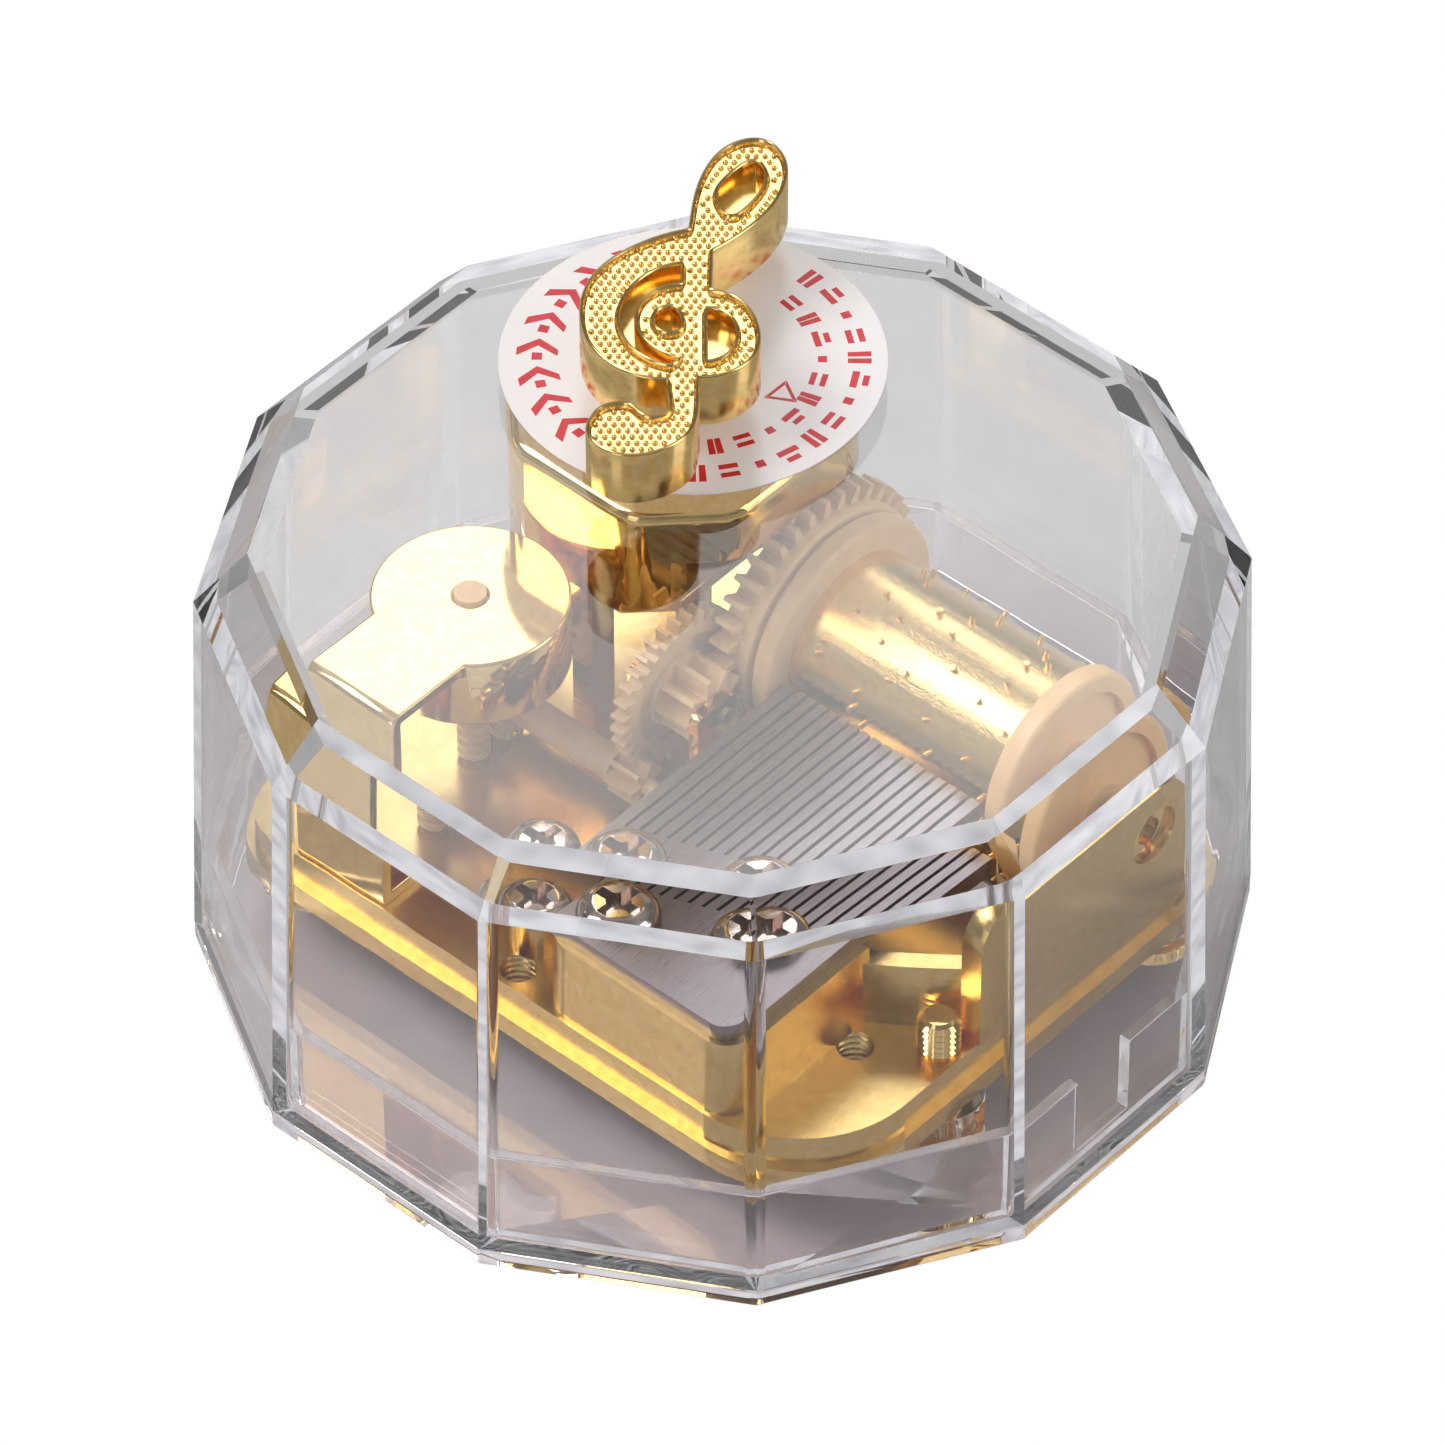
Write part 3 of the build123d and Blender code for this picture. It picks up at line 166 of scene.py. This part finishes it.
def ramp_from(tree, source, stops):
    """A colour ramp driven by a texture's first output; stops are (place, colour)."""
    node = tree.nodes.new("ShaderNodeValToRGB")
    elements = node.color_ramp.elements
    while len(elements) < len(stops):
        elements.new(0.5)
    for element, (place, colour) in zip(elements, stops):
        element.position = place
        element.color = (*colour, 1)
    tree.links.new(source.outputs[0], node.inputs["Fac"])
    return node


def bump_from(tree, source, shader, strength, distance):
    node = tree.nodes.new("ShaderNodeBump")
    node.inputs["Strength"].default_value = strength
    node.inputs["Distance"].default_value = distance
    tree.links.new(source.outputs[0], node.inputs["Height"])
    tree.links.new(node.outputs["Normal"], shader.inputs["Normal"])


GOLD_TONES = [(0.30, (0.86, 0.58, 0.21)), (0.55, (0.92, 0.66, 0.27)), (0.75, (0.97, 0.73, 0.35))]


def gold(name, roughness, grain, depth, strength, shade=1.0):
    material, tree, shader = new_material(name)
    shader.inputs["Metallic"].default_value = 1.0
    wear = texture(tree, "ShaderNodeTexNoise", 260.0, Detail=5.0, Roughness=0.6)
    tone = ramp_from(tree, wear, [(place, [shade * c for c in colour]) for place, colour in GOLD_TONES])
    tree.links.new(tone.outputs["Color"], shader.inputs["Base Color"])
    rough = ramp_from(tree, wear, [(0.3, (roughness[0],) * 3), (0.75, (roughness[1],) * 3)])
    tree.links.new(rough.outputs["Color"], shader.inputs["Roughness"])
    pebble = texture(tree, "ShaderNodeTexNoise", grain, Detail=3.0, Roughness=0.55)
    bump_from(tree, pebble, shader, strength, depth)
    return material


def moulded(name, colours, roughness=0.38, subsurface=0.08, painted_glow=0.0):
    material, tree, shader = new_material(name)
    mottling = texture(tree, "ShaderNodeTexNoise", 180.0, Detail=4.0)
    tone = ramp_from(tree, mottling, [(0.32, colours[0]), (0.68, colours[1])])
    tree.links.new(tone.outputs["Color"], shader.inputs["Base Color"])
    shader.inputs["Roughness"].default_value = roughness
    shader.inputs["Subsurface Weight"].default_value = subsurface
    shader.inputs["Subsurface Radius"].default_value = (0.001, 0.0006, 0.0003)
    # a glow above zero is painted light: an emission that brightens the surface though it is no lamp
    shader.inputs["Emission Color"].default_value = (*colours[1], 1)
    shader.inputs["Emission Strength"].default_value = painted_glow
    skin = texture(tree, "ShaderNodeTexNoise", 2600.0, Detail=2.0)
    bump_from(tree, skin, shader, 0.15, 0.00002)
    return material


def metal(name, colours, roughness, scale, strength=0.2, depth=0.00002):
    material, tree, shader = new_material(name)
    shader.inputs["Metallic"].default_value = 1.0
    streaks = texture(tree, "ShaderNodeTexNoise", scale, Detail=4.0, Roughness=0.65)
    tone = ramp_from(tree, streaks, [(0.30, colours[0]), (0.70, colours[1])])
    tree.links.new(tone.outputs["Color"], shader.inputs["Base Color"])
    rough = ramp_from(tree, streaks, [(0.25, (roughness[0],) * 3), (0.75, (roughness[1],) * 3)])
    tree.links.new(rough.outputs["Color"], shader.inputs["Roughness"])
    bump_from(tree, streaks, shader, strength, depth)
    return material


# a ray is caught once it has turned back inside the plastic this many times more than it has passed a face
CAUGHT_TURNS = 2.5


def painted_glow_where_caught(tree, path, surface):
    """Where light is caught between the faces of the plastic, a painted grey glow stands in for the milky
    look of its cut edges.
    """
    turns = tree.nodes.new("ShaderNodeMath")
    turns.operation = "SUBTRACT"
    tree.links.new(path.outputs["Glossy Depth"], turns.inputs[0])
    tree.links.new(path.outputs["Transmission Depth"], turns.inputs[1])
    caught = tree.nodes.new("ShaderNodeMath")
    caught.operation = "GREATER_THAN"
    caught.inputs[1].default_value = CAUGHT_TURNS
    tree.links.new(turns.outputs[0], caught.inputs[0])
    glow_noise = texture(tree, "ShaderNodeTexNoise", (60.0, 60.0, 200.0), Detail=1.0)
    painted_glow = ramp_from(tree, glow_noise, [
        (0.32, (0.50, 0.49, 0.52)), (0.46, (0.60, 0.595, 0.63)), (0.68, (0.74, 0.735, 0.76))])
    # painted light: caught rays end in this mottled grey emission instead of the light they would bring
    # back
    painted_edge_glow = tree.nodes.new("ShaderNodeEmission")
    tree.links.new(painted_glow.outputs["Color"], painted_edge_glow.inputs["Color"])
    mix = tree.nodes.new("ShaderNodeMixShader")
    tree.links.new(caught.outputs[0], mix.inputs["Fac"])
    tree.links.new(surface.outputs[0], mix.inputs[1])
    tree.links.new(painted_edge_glow.outputs[0], mix.inputs[2])
    return mix


def clear(name, tint, shadow_tint, haze=0.012):
    """Clear acrylic: refracts what is behind it, and lets light through to what is inside."""
    material, tree, shader = new_material(name)
    shader.inputs["Base Color"].default_value = (*tint, 1)
    shader.inputs["Transmission Weight"].default_value = 1.0
    shader.inputs["IOR"].default_value = 1.49
    smear = texture(tree, "ShaderNodeTexNoise", 90.0, Detail=5.0)
    rough = ramp_from(tree, smear, [(0.35, (0.0,) * 3), (0.85, (haze,) * 3)])
    tree.links.new(rough.outputs["Color"], shader.inputs["Roughness"])
    ripple = texture(tree, "ShaderNodeTexNoise", 34.0, Detail=1.0)
    bump_from(tree, ripple, shader, 0.05, 0.0002)
    through = tree.nodes.new("ShaderNodeBsdfTransparent")
    through.inputs["Color"].default_value = (*shadow_tint, 1)
    path = tree.nodes.new("ShaderNodeLightPath")
    mix = tree.nodes.new("ShaderNodeMixShader")
    tree.links.new(path.outputs["Is Shadow Ray"], mix.inputs["Fac"])
    tree.links.new(shader.outputs[0], mix.inputs[1])
    tree.links.new(through.outputs[0], mix.inputs[2])
    # deep inside the plastic, the glass gives way to the painted edge glow
    plastic = painted_glow_where_caught(tree, path, mix)
    tree.links.new(plastic.outputs[0], tree.nodes["Material Output"].inputs["Surface"])
    return material


def floor_material():
    """White paper where it is seen directly, softer and greyer in reflections and through the case."""
    material, tree, shader = new_material("floor_paper")
    fibre = texture(tree, "ShaderNodeTexNoise", 60.0, Detail=4.0)
    tone = ramp_from(tree, fibre, [(0.3, (0.60, 0.59, 0.595)), (0.7, (0.65, 0.64, 0.645))])
    tree.links.new(tone.outputs["Color"], shader.inputs["Base Color"])
    shader.inputs["Roughness"].default_value = 0.7
    lit = tree.nodes.new("ShaderNodeEmission")
    lit.inputs["Color"].default_value = (1, 1, 1, 1)
    path = tree.nodes.new("ShaderNodeLightPath")
    mix = tree.nodes.new("ShaderNodeMixShader")
    tree.links.new(path.outputs["Is Camera Ray"], mix.inputs["Fac"])
    tree.links.new(shader.outputs[0], mix.inputs[1])
    tree.links.new(lit.outputs[0], mix.inputs[2])
    tree.links.new(mix.outputs[0], tree.nodes["Material Output"].inputs["Surface"])
    return material


floor_mesh.materials.append(floor_material())
CAST_GOLD = gold("gold_casting", (0.05, 0.13), 2200.0, 0.00003, 0.5, shade=0.84)
PLATED_GOLD = gold("gold_plate", (0.05, 0.11), 500.0, 0.00001, 0.15)
DRUM_GOLD = gold("gold_drum", (0.05, 0.10), 1700.0, 0.00004, 0.6)
CLEF_GOLD = gold("gold_clef", (0.16, 0.24), 900.0, 0.00001, 0.15)
BEIGE = moulded("beige_moulding", ((0.66, 0.42, 0.19), (0.74, 0.50, 0.25)))
CAP_BEIGE = moulded("beige_cap", ((0.80, 0.50, 0.22), (0.86, 0.56, 0.27)))
STEEL = metal("steel", ((0.36, 0.35, 0.35), (0.52, 0.51, 0.50)), (0.22, 0.38), (300, 300, 1500))
COMB_STEEL = metal("comb_steel", ((0.24, 0.21, 0.225), (0.34, 0.30, 0.32)), (0.24, 0.36), (2400, 60, 2400))
NICKEL = metal("nickel", ((0.50, 0.43, 0.40), (0.62, 0.54, 0.50)), (0.06, 0.12), 400.0)
LEAD = metal("lead", ((0.14, 0.14, 0.15), (0.22, 0.22, 0.23)), (0.45, 0.6), 900.0)
# the label film glows a little: painted light that lifts the label's brightness
PAPER_WITH_PAINTED_GLOW = moulded("label_film_painted_glow", ((0.95, 0.90, 0.915), (0.98, 0.94, 0.95)), 0.25, 0.0, painted_glow=0.14)
RED_INK = moulded("red_ink", ((0.84, 0.025, 0.04), (0.94, 0.05, 0.07)), 0.35, 0.0)
ACRYLIC = clear("clear_acrylic", (0.985, 0.988, 0.99), (0.965, 0.965, 0.97))
BASE_ACRYLIC = clear("clear_base", (0.98, 0.92, 0.925), (0.95, 0.92, 0.92))

FINISHES = {
    "case_shell": ACRYLIC,
    "base_plate": BASE_ACRYLIC,
    "base_screws": PLATED_GOLD,
    "key_label": PAPER_WITH_PAINTED_GLOW,
    "clef_key": CLEF_GOLD,
    "winding_arbor": STEEL,
    "ratchet_wheel": STEEL,
    "click_spring": STEEL,
    "spring_housing": PLATED_GOLD,
    "housing_base": PLATED_GOLD,
    "housing_screws": NICKEL,
    "spring_wheel": BEIGE,
    "mainspring": STEEL,
    "drum": DRUM_GOLD,
    "drum_gear": BEIGE,
    "drum_end_cap": CAP_BEIGE,
    "drum_arbor": STEEL,
    "drum_bracket": PLATED_GOLD,
    "bearing_screw": PLATED_GOLD,
    "intermediate_wheel": BEIGE,
    "intermediate_arbor": STEEL,
    "wheel_bracket": PLATED_GOLD,
    "pinion_bracket": PLATED_GOLD,
    "worm_wheel": BEIGE,
    "worm_wheel_bracket": PLATED_GOLD,
    "governor_worm": BEIGE,
    "governor_fan": BEIGE,
    "governor_cover": PLATED_GOLD,
    "governor_screws": NICKEL,
    "bedplate": CAST_GOLD,
    "comb": COMB_STEEL,
    "comb_screws": NICKEL,
    "comb_weights": LEAD,
}
for name, material in FINISHES.items():
    mesh = nodes[name].data
    mesh.materials.clear()
    mesh.materials.append(material)

# small rounded edges on the CAD pieces, and how wide each is in millimetres
EDGE_WIDTHS = {
    "case_shell": 0.26,
    "base_plate": 0.16,
    "bedplate": 0.28,
    "spring_housing": 0.32,
    "housing_base": 0.22,
    "governor_cover": 0.22,
    "drum_bracket": 0.12,
    "wheel_bracket": 0.12,
    "pinion_bracket": 0.12,
    "worm_wheel_bracket": 0.12,
    "drum_end_cap": 0.20,
    "drum_gear": 0.08,
    "intermediate_wheel": 0.07,
    "spring_wheel": 0.07,
    "worm_wheel": 0.05,
    "comb": 0.10,
    "comb_screws": 0.10,
    "housing_screws": 0.10,
    "governor_screws": 0.08,
}
EDGE_ANGLE = math.radians(24)
for name, width in EDGE_WIDTHS.items():
    weld = nodes[name].modifiers.new("seams", "WELD")
    weld.merge_threshold = 0.001 * MM
    bevel = nodes[name].modifiers.new("edges", "BEVEL")
    bevel.width = width * MM
    bevel.segments = 2
    bevel.limit_method = "ANGLE"
    bevel.angle_limit = EDGE_ANGLE
    bevel.use_clamp_overlap = True
    bevel.harden_normals = True


# ---------------------------------------------------------------- mesh helpers
SMOOTH_ANGLE = math.radians(35)
LEVEL = 2e-6  # metres: vertices this close to a height count as lying at it


def add_piece(name, verts, faces, material, body, stands_for=()):
    """A finished mesh object that rides on a CAD body; coordinates are in the row frame, in metres."""
    mesh = bpy.data.meshes.new(name)
    mesh.from_pydata([tuple(v) for v in verts], [], [tuple(f) for f in faces])
    mesh.update()
    bm = bmesh.new()
    bm.from_mesh(mesh)
    bmesh.ops.remove_doubles(bm, verts=bm.verts, dist=1e-7)
    bmesh.ops.dissolve_degenerate(bm, edges=bm.edges, dist=1e-7)
    bmesh.ops.recalc_face_normals(bm, faces=bm.faces)
    bm.to_mesh(mesh)
    bm.free()
    mesh.materials.append(material)
    mesh.shade_smooth()
    mesh.set_sharp_from_angle(angle=SMOOTH_ANGLE)
    piece = bpy.data.objects.new(name, mesh)
    scene.collection.objects.link(piece)
    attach(piece, body)
    if stands_for:
        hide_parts(*stands_for)


def level_outlines(node, height):
    """Closed outlines of a CAD node's level faces at one height, as lists of (x, y) in metres."""
    mesh = nodes[node].data
    places = [(round(v.co.x, 7), round(v.co.y, 7)) for v in mesh.vertices]
    level = [abs(v.co.z - height) < LEVEL for v in mesh.vertices]
    directed = set()
    for face in mesh.polygons:
        ring = list(face.vertices)
        if all(level[index] for index in ring):
            for a, b in zip(ring, ring[1:] + ring[:1]):
                directed.add((places[a], places[b]))
    following = {a: b for a, b in directed if (b, a) not in directed}
    outlines = []
    while following:
        start, here = following.popitem()
        outline = [start]
        while here != start:
            outline.append(here)
            here = following.pop(here)
        outlines.append(outline)
    return sorted(outlines, key=len, reverse=True)


def rounded_outline(outline, spacing, corner=math.radians(38)):
    """The outline resampled evenly: smooth through its points, except at sharp corners."""
    count = len(outline)
    points = [Vector(p) for p in outline]
    steps = [points[i] - points[i - 1] for i in range(count)]
    sharp = [steps[i].length > 0 and steps[(i + 1) % count].angle(steps[i]) > corner for i in range(count)]
    result = []
    for i in range(count):
        a, b = points[i], points[(i + 1) % count]
        length = (b - a).length
        before = a if sharp[i] else points[i - 1]
        after = b if sharp[(i + 1) % count] else points[(i + 2) % count]
        into = (b - before) * (length / max((b - a).length + (a - before).length, 1e-9))
        out = (after - a) * (length / max((after - b).length + length, 1e-9))
        parts = max(1, round(length / spacing))
        for k in range(parts):
            t = k / parts
            h1, h2 = 2 * t ** 3 - 3 * t ** 2 + 1, t ** 3 - 2 * t ** 2 + t
            h3, h4 = -2 * t ** 3 + 3 * t ** 2, t ** 3 - t ** 2
            result.append(h1 * a + h2 * into + h3 * b + h4 * out)
    return result


def edge_distance(points, outlines):
    """Distance from each point to the nearest outline, as an array."""
    xy = np.array([(p[0], p[1]) for p in points])
    best = np.full(len(xy), 1e9)
    for outline in outlines:
        ring = np.array([(p[0], p[1]) for p in outline])
        for a, b in zip(ring, np.roll(ring, -1, axis=0)):
            span = b - a
            share = np.clip(((xy - a) @ span) / max(span @ span, 1e-18), 0, 1)
            best = np.minimum(best, np.hypot(*(xy - a - share[:, None] * span).T))
    return best


def inside(points, outlines):
    """True where a point lies within the outlines, holes counted."""
    xy = np.array([(p[0], p[1]) for p in points])
    odd = np.zeros(len(xy), dtype=bool)
    for outline in outlines:
        ring = np.array([(p[0], p[1]) for p in outline])
        for a, b in zip(ring, np.roll(ring, -1, axis=0)):
            crosses = (a[1] > xy[:, 1]) != (b[1] > xy[:, 1])
            at = a[0] + (xy[:, 1] - a[1]) * (b[0] - a[0]) / (b[1] - a[1] if b[1] != a[1] else 1e-18)
            odd ^= crosses & (xy[:, 0] < at)
    return odd


# ---------------------------------------------------------------- treble-clef key
# the raised rim: distance in from the outline, and how far below the top it lies there
RIM = [(0.0, 0.14), (0.07, 0.04), (0.15, 0.0), (0.24, 0.04), (0.32, 0.18), (0.40, 0.42)]
RIM_WIDTH = RIM[-1][0] * MM
RIM_CLEAR = 0.985  # a rim point nearer to another outline than this share of its offset is left out
BEAD_R, BEAD_HEIGHT, BEAD_PITCH = 0.21 * MM, 0.22 * MM, 0.60 * MM
BEAD_TURN = math.radians(42)
BEAD_RINGS, BEAD_SIDES = (0.45, 0.8, 1.0), 8
POCKET_DEPTH = 1.6 * MM
OUTLINE_STEP = 0.2 * MM


def rim_rings(outlines):
    """Each outline, and the lines inside it that shape the rim, as lists of (point, kept)."""
    rings = []
    for outline in outlines:
        rings.append([(p, True) for p in outline])
        count = len(outline)
        for offset in [width * MM for width, _ in RIM[1:]]:
            inner = []
            for i in range(count):
                along = outline[(i + 1) % count] - outline[i - 1]
                normal = Vector((-along.y, along.x)).normalized()
                inner.append(outline[i] + normal * offset)
            far = edge_distance(inner, outlines) > offset * RIM_CLEAR
            rings.append(list(zip(inner, far)))
    return rings


def bead_places(outlines):
    """Places of the small round beads: a turned lattice, wherever a bead has room inside the rim."""
    hub = centre("clef_key").to_2d()
    reach = int(max((p - hub).length for p in outlines[0]) / BEAD_PITCH) + 1
    beads = []
    for row in range(-reach, reach + 1):
        for column in range(-reach, reach + 1):
            place = Vector((column + 0.5 * (row % 2), row)) * BEAD_PITCH
            place.rotate(Matrix.Rotation(BEAD_TURN, 2))
            beads.append(hub + place)
    room = (edge_distance(beads, outlines) > RIM_WIDTH + BEAD_R * 0.7) & inside(beads, outlines)
    return [bead for bead, fits in zip(beads, room) if fits]


def clef_face(outlines, beads):
    """Points of the key's upper face, their heights below the top, and the triangles between them."""
    verts, edges = [], []
    for ring in rim_rings(outlines):
        kept = {}
        for index, (point, keep) in enumerate(ring):
            if keep:
                kept[index] = len(verts)
                verts.append(point)
        for index in range(len(ring)):
            a, b = kept.get(index), kept.get((index + 1) % len(ring))
            if a is not None and b is not None:
                edges.append((a, b))
    for bead in beads:
        verts.append(bead)
        for radius in BEAD_RINGS:
            for k in range(BEAD_SIDES):
                turn = 2 * math.pi * (k + radius) / BEAD_SIDES
                verts.append(bead + Vector((math.cos(turn), math.sin(turn))) * BEAD_R * radius)
    flat, _, faces, _, _, _ = geometry.delaunay_2d_cdt(verts, edges, [], 0, 1e-8)
    middles = [sum((flat[i] for i in face), Vector((0, 0))) / 3 for face in faces]
    faces = [face for face, within in zip(faces, inside(middles, outlines)) if within]
    away = edge_distance(flat, outlines)
    heights = -MM * np.interp(away / MM, [width for width, _ in RIM], [drop for _, drop in RIM])
    xy = np.array([(p.x, p.y) for p in flat])
    for bead in beads:
        off = np.hypot(xy[:, 0] - bead.x, xy[:, 1] - bead.y) / BEAD_R
        heights += np.where(off < 1, BEAD_HEIGHT * np.sqrt(np.clip(1 - off ** 2, 0, 1)), 0)
    return flat, heights, faces


def clef_piece():
    top, bottom = high("clef_key")[2], low("clef_key")[2]
    outlines = [rounded_outline(o, OUTLINE_STEP) for o in level_outlines("clef_key", top)]
    flat, heights, faces = clef_face(outlines, bead_places(outlines))
    solid = [(p.x, p.y, top + h) for p, h in zip(flat, heights)]
    shapes = [tuple(face) for face in faces]
    for index, outline in enumerate(outlines):
        floor_z = bottom if index == 0 else top - POCKET_DEPTH
        first = len(solid)
        solid += [(p.x, p.y, top - RIM[0][1] * MM) for p in outline]
        second = len(solid)
        solid += [(p.x, p.y, floor_z) for p in outline]
        count = len(outline)
        for k in range(count):
            n = (k + 1) % count
            shapes.append((first + k, first + n, second + n, second + k))
        shapes.append(tuple(range(second, second + count)))
    add_piece("clef", solid, shapes, CLEF_GOLD, "key", ["clef_key"])


clef_piece()


# ---------------------------------------------------------------- printed marks on the label
# radii and lengths in millimetres, angles in degrees about the winding axis
PRINT_HEIGHT = 0.012 * MM
CHEVRONS, CHEVRON_START, CHEVRON_STEP = 8, 262, 15.0
CHEVRON_R, CHEVRON_HALF = 10.5, 1.4
DASH_ROWS = [(11.2, -58, 92, 1.45), (8.7, -52, 84, 1.35)]  # radius, first angle, last angle, size
DASH_SPACING = 1.5
TRIANGLE_PLACE = (6.9, 12)
TRIANGLE_R, TRIANGLE_INNER_R = 1.3, 0.85


def polar(origin, radius, degrees):
    turn = math.radians(degrees)
    return origin + Vector((math.cos(turn), math.sin(turn))) * radius * MM


def label_marks():
    """Outlines of the printed marks: winding chevrons, rows of dashes, dots and a plain triangle."""
    hub = centre("key_label").to_2d()
    marks = []

    def block(radius, degrees, tall, wide):
        half = math.degrees(wide / 2 / radius)
        marks.append([
            polar(hub, radius - tall / 2, degrees - half),
            polar(hub, radius - tall / 2, degrees + half),
            polar(hub, radius + tall / 2, degrees + half),
            polar(hub, radius + tall / 2, degrees - half),
        ])

    for chevron in range(CHEVRONS):
        lead = CHEVRON_START - CHEVRON_STEP * chevron
        marks.append([
            polar(hub, CHEVRON_R, lead - 6.4),
            polar(hub, CHEVRON_R + CHEVRON_HALF, lead - 0.9),
            polar(hub, CHEVRON_R + CHEVRON_HALF, lead + 2.9),
            polar(hub, CHEVRON_R, lead - 2.6),
            polar(hub, CHEVRON_R - CHEVRON_HALF, lead + 2.9),
            polar(hub, CHEVRON_R - CHEVRON_HALF, lead - 0.9),
        ])
        block(CHEVRON_R, lead + 3.2, 0.7, 0.7)
    for radius, first, last, size in DASH_ROWS:
        degrees = first
        pattern = 0
        while degrees < last:
            if pattern % 4 == 0:
                block(radius - 0.1 * size, degrees, 0.34 * size, 1.1 * size)
                block(radius + 0.42 * size, degrees, 0.3 * size, 0.7 * size)
            elif pattern % 4 == 1:
                block(radius, degrees - 1.6, 1.1 * size, 0.32 * size)
                block(radius, degrees + 1.8, 1.1 * size, 0.32 * size)
            elif pattern % 4 == 2:
                block(radius - 0.3 * size, degrees, 0.3 * size, 0.9 * size)
                block(radius + 0.25 * size, degrees, 0.3 * size, 0.9 * size)
            else:
                block(radius, degrees, 0.45 * size, 0.45 * size)
            degrees += math.degrees(DASH_SPACING * size / radius)
            pattern += 1
    middle = polar(hub, TRIANGLE_PLACE[0], TRIANGLE_PLACE[1])
    for corner in range(3):
        a, b = corner * 120 + 1, corner * 120 + 119
        marks.append([
            polar(middle, TRIANGLE_R, a),
            polar(middle, TRIANGLE_R, b),
            polar(middle, TRIANGLE_INNER_R, b),
            polar(middle, TRIANGLE_INNER_R, a),
        ])
    return marks


def label_print():
    top = high("key_label")[2]
    verts, faces = [], []
    for mark in label_marks():
        first, count = len(verts), len(mark)
        verts += [(p.x, p.y, top) for p in mark]
        verts += [(p.x, p.y, top + PRINT_HEIGHT) for p in mark]
        faces.append(tuple(range(first, first + count)))
        faces.append(tuple(range(first + count, first + 2 * count)))
        for k in range(count):
            n = (k + 1) % count
            faces.append((first + k, first + n, first + count + n, first + count + k))
    add_piece("label_print", verts, faces, RED_INK, "case")


label_print()
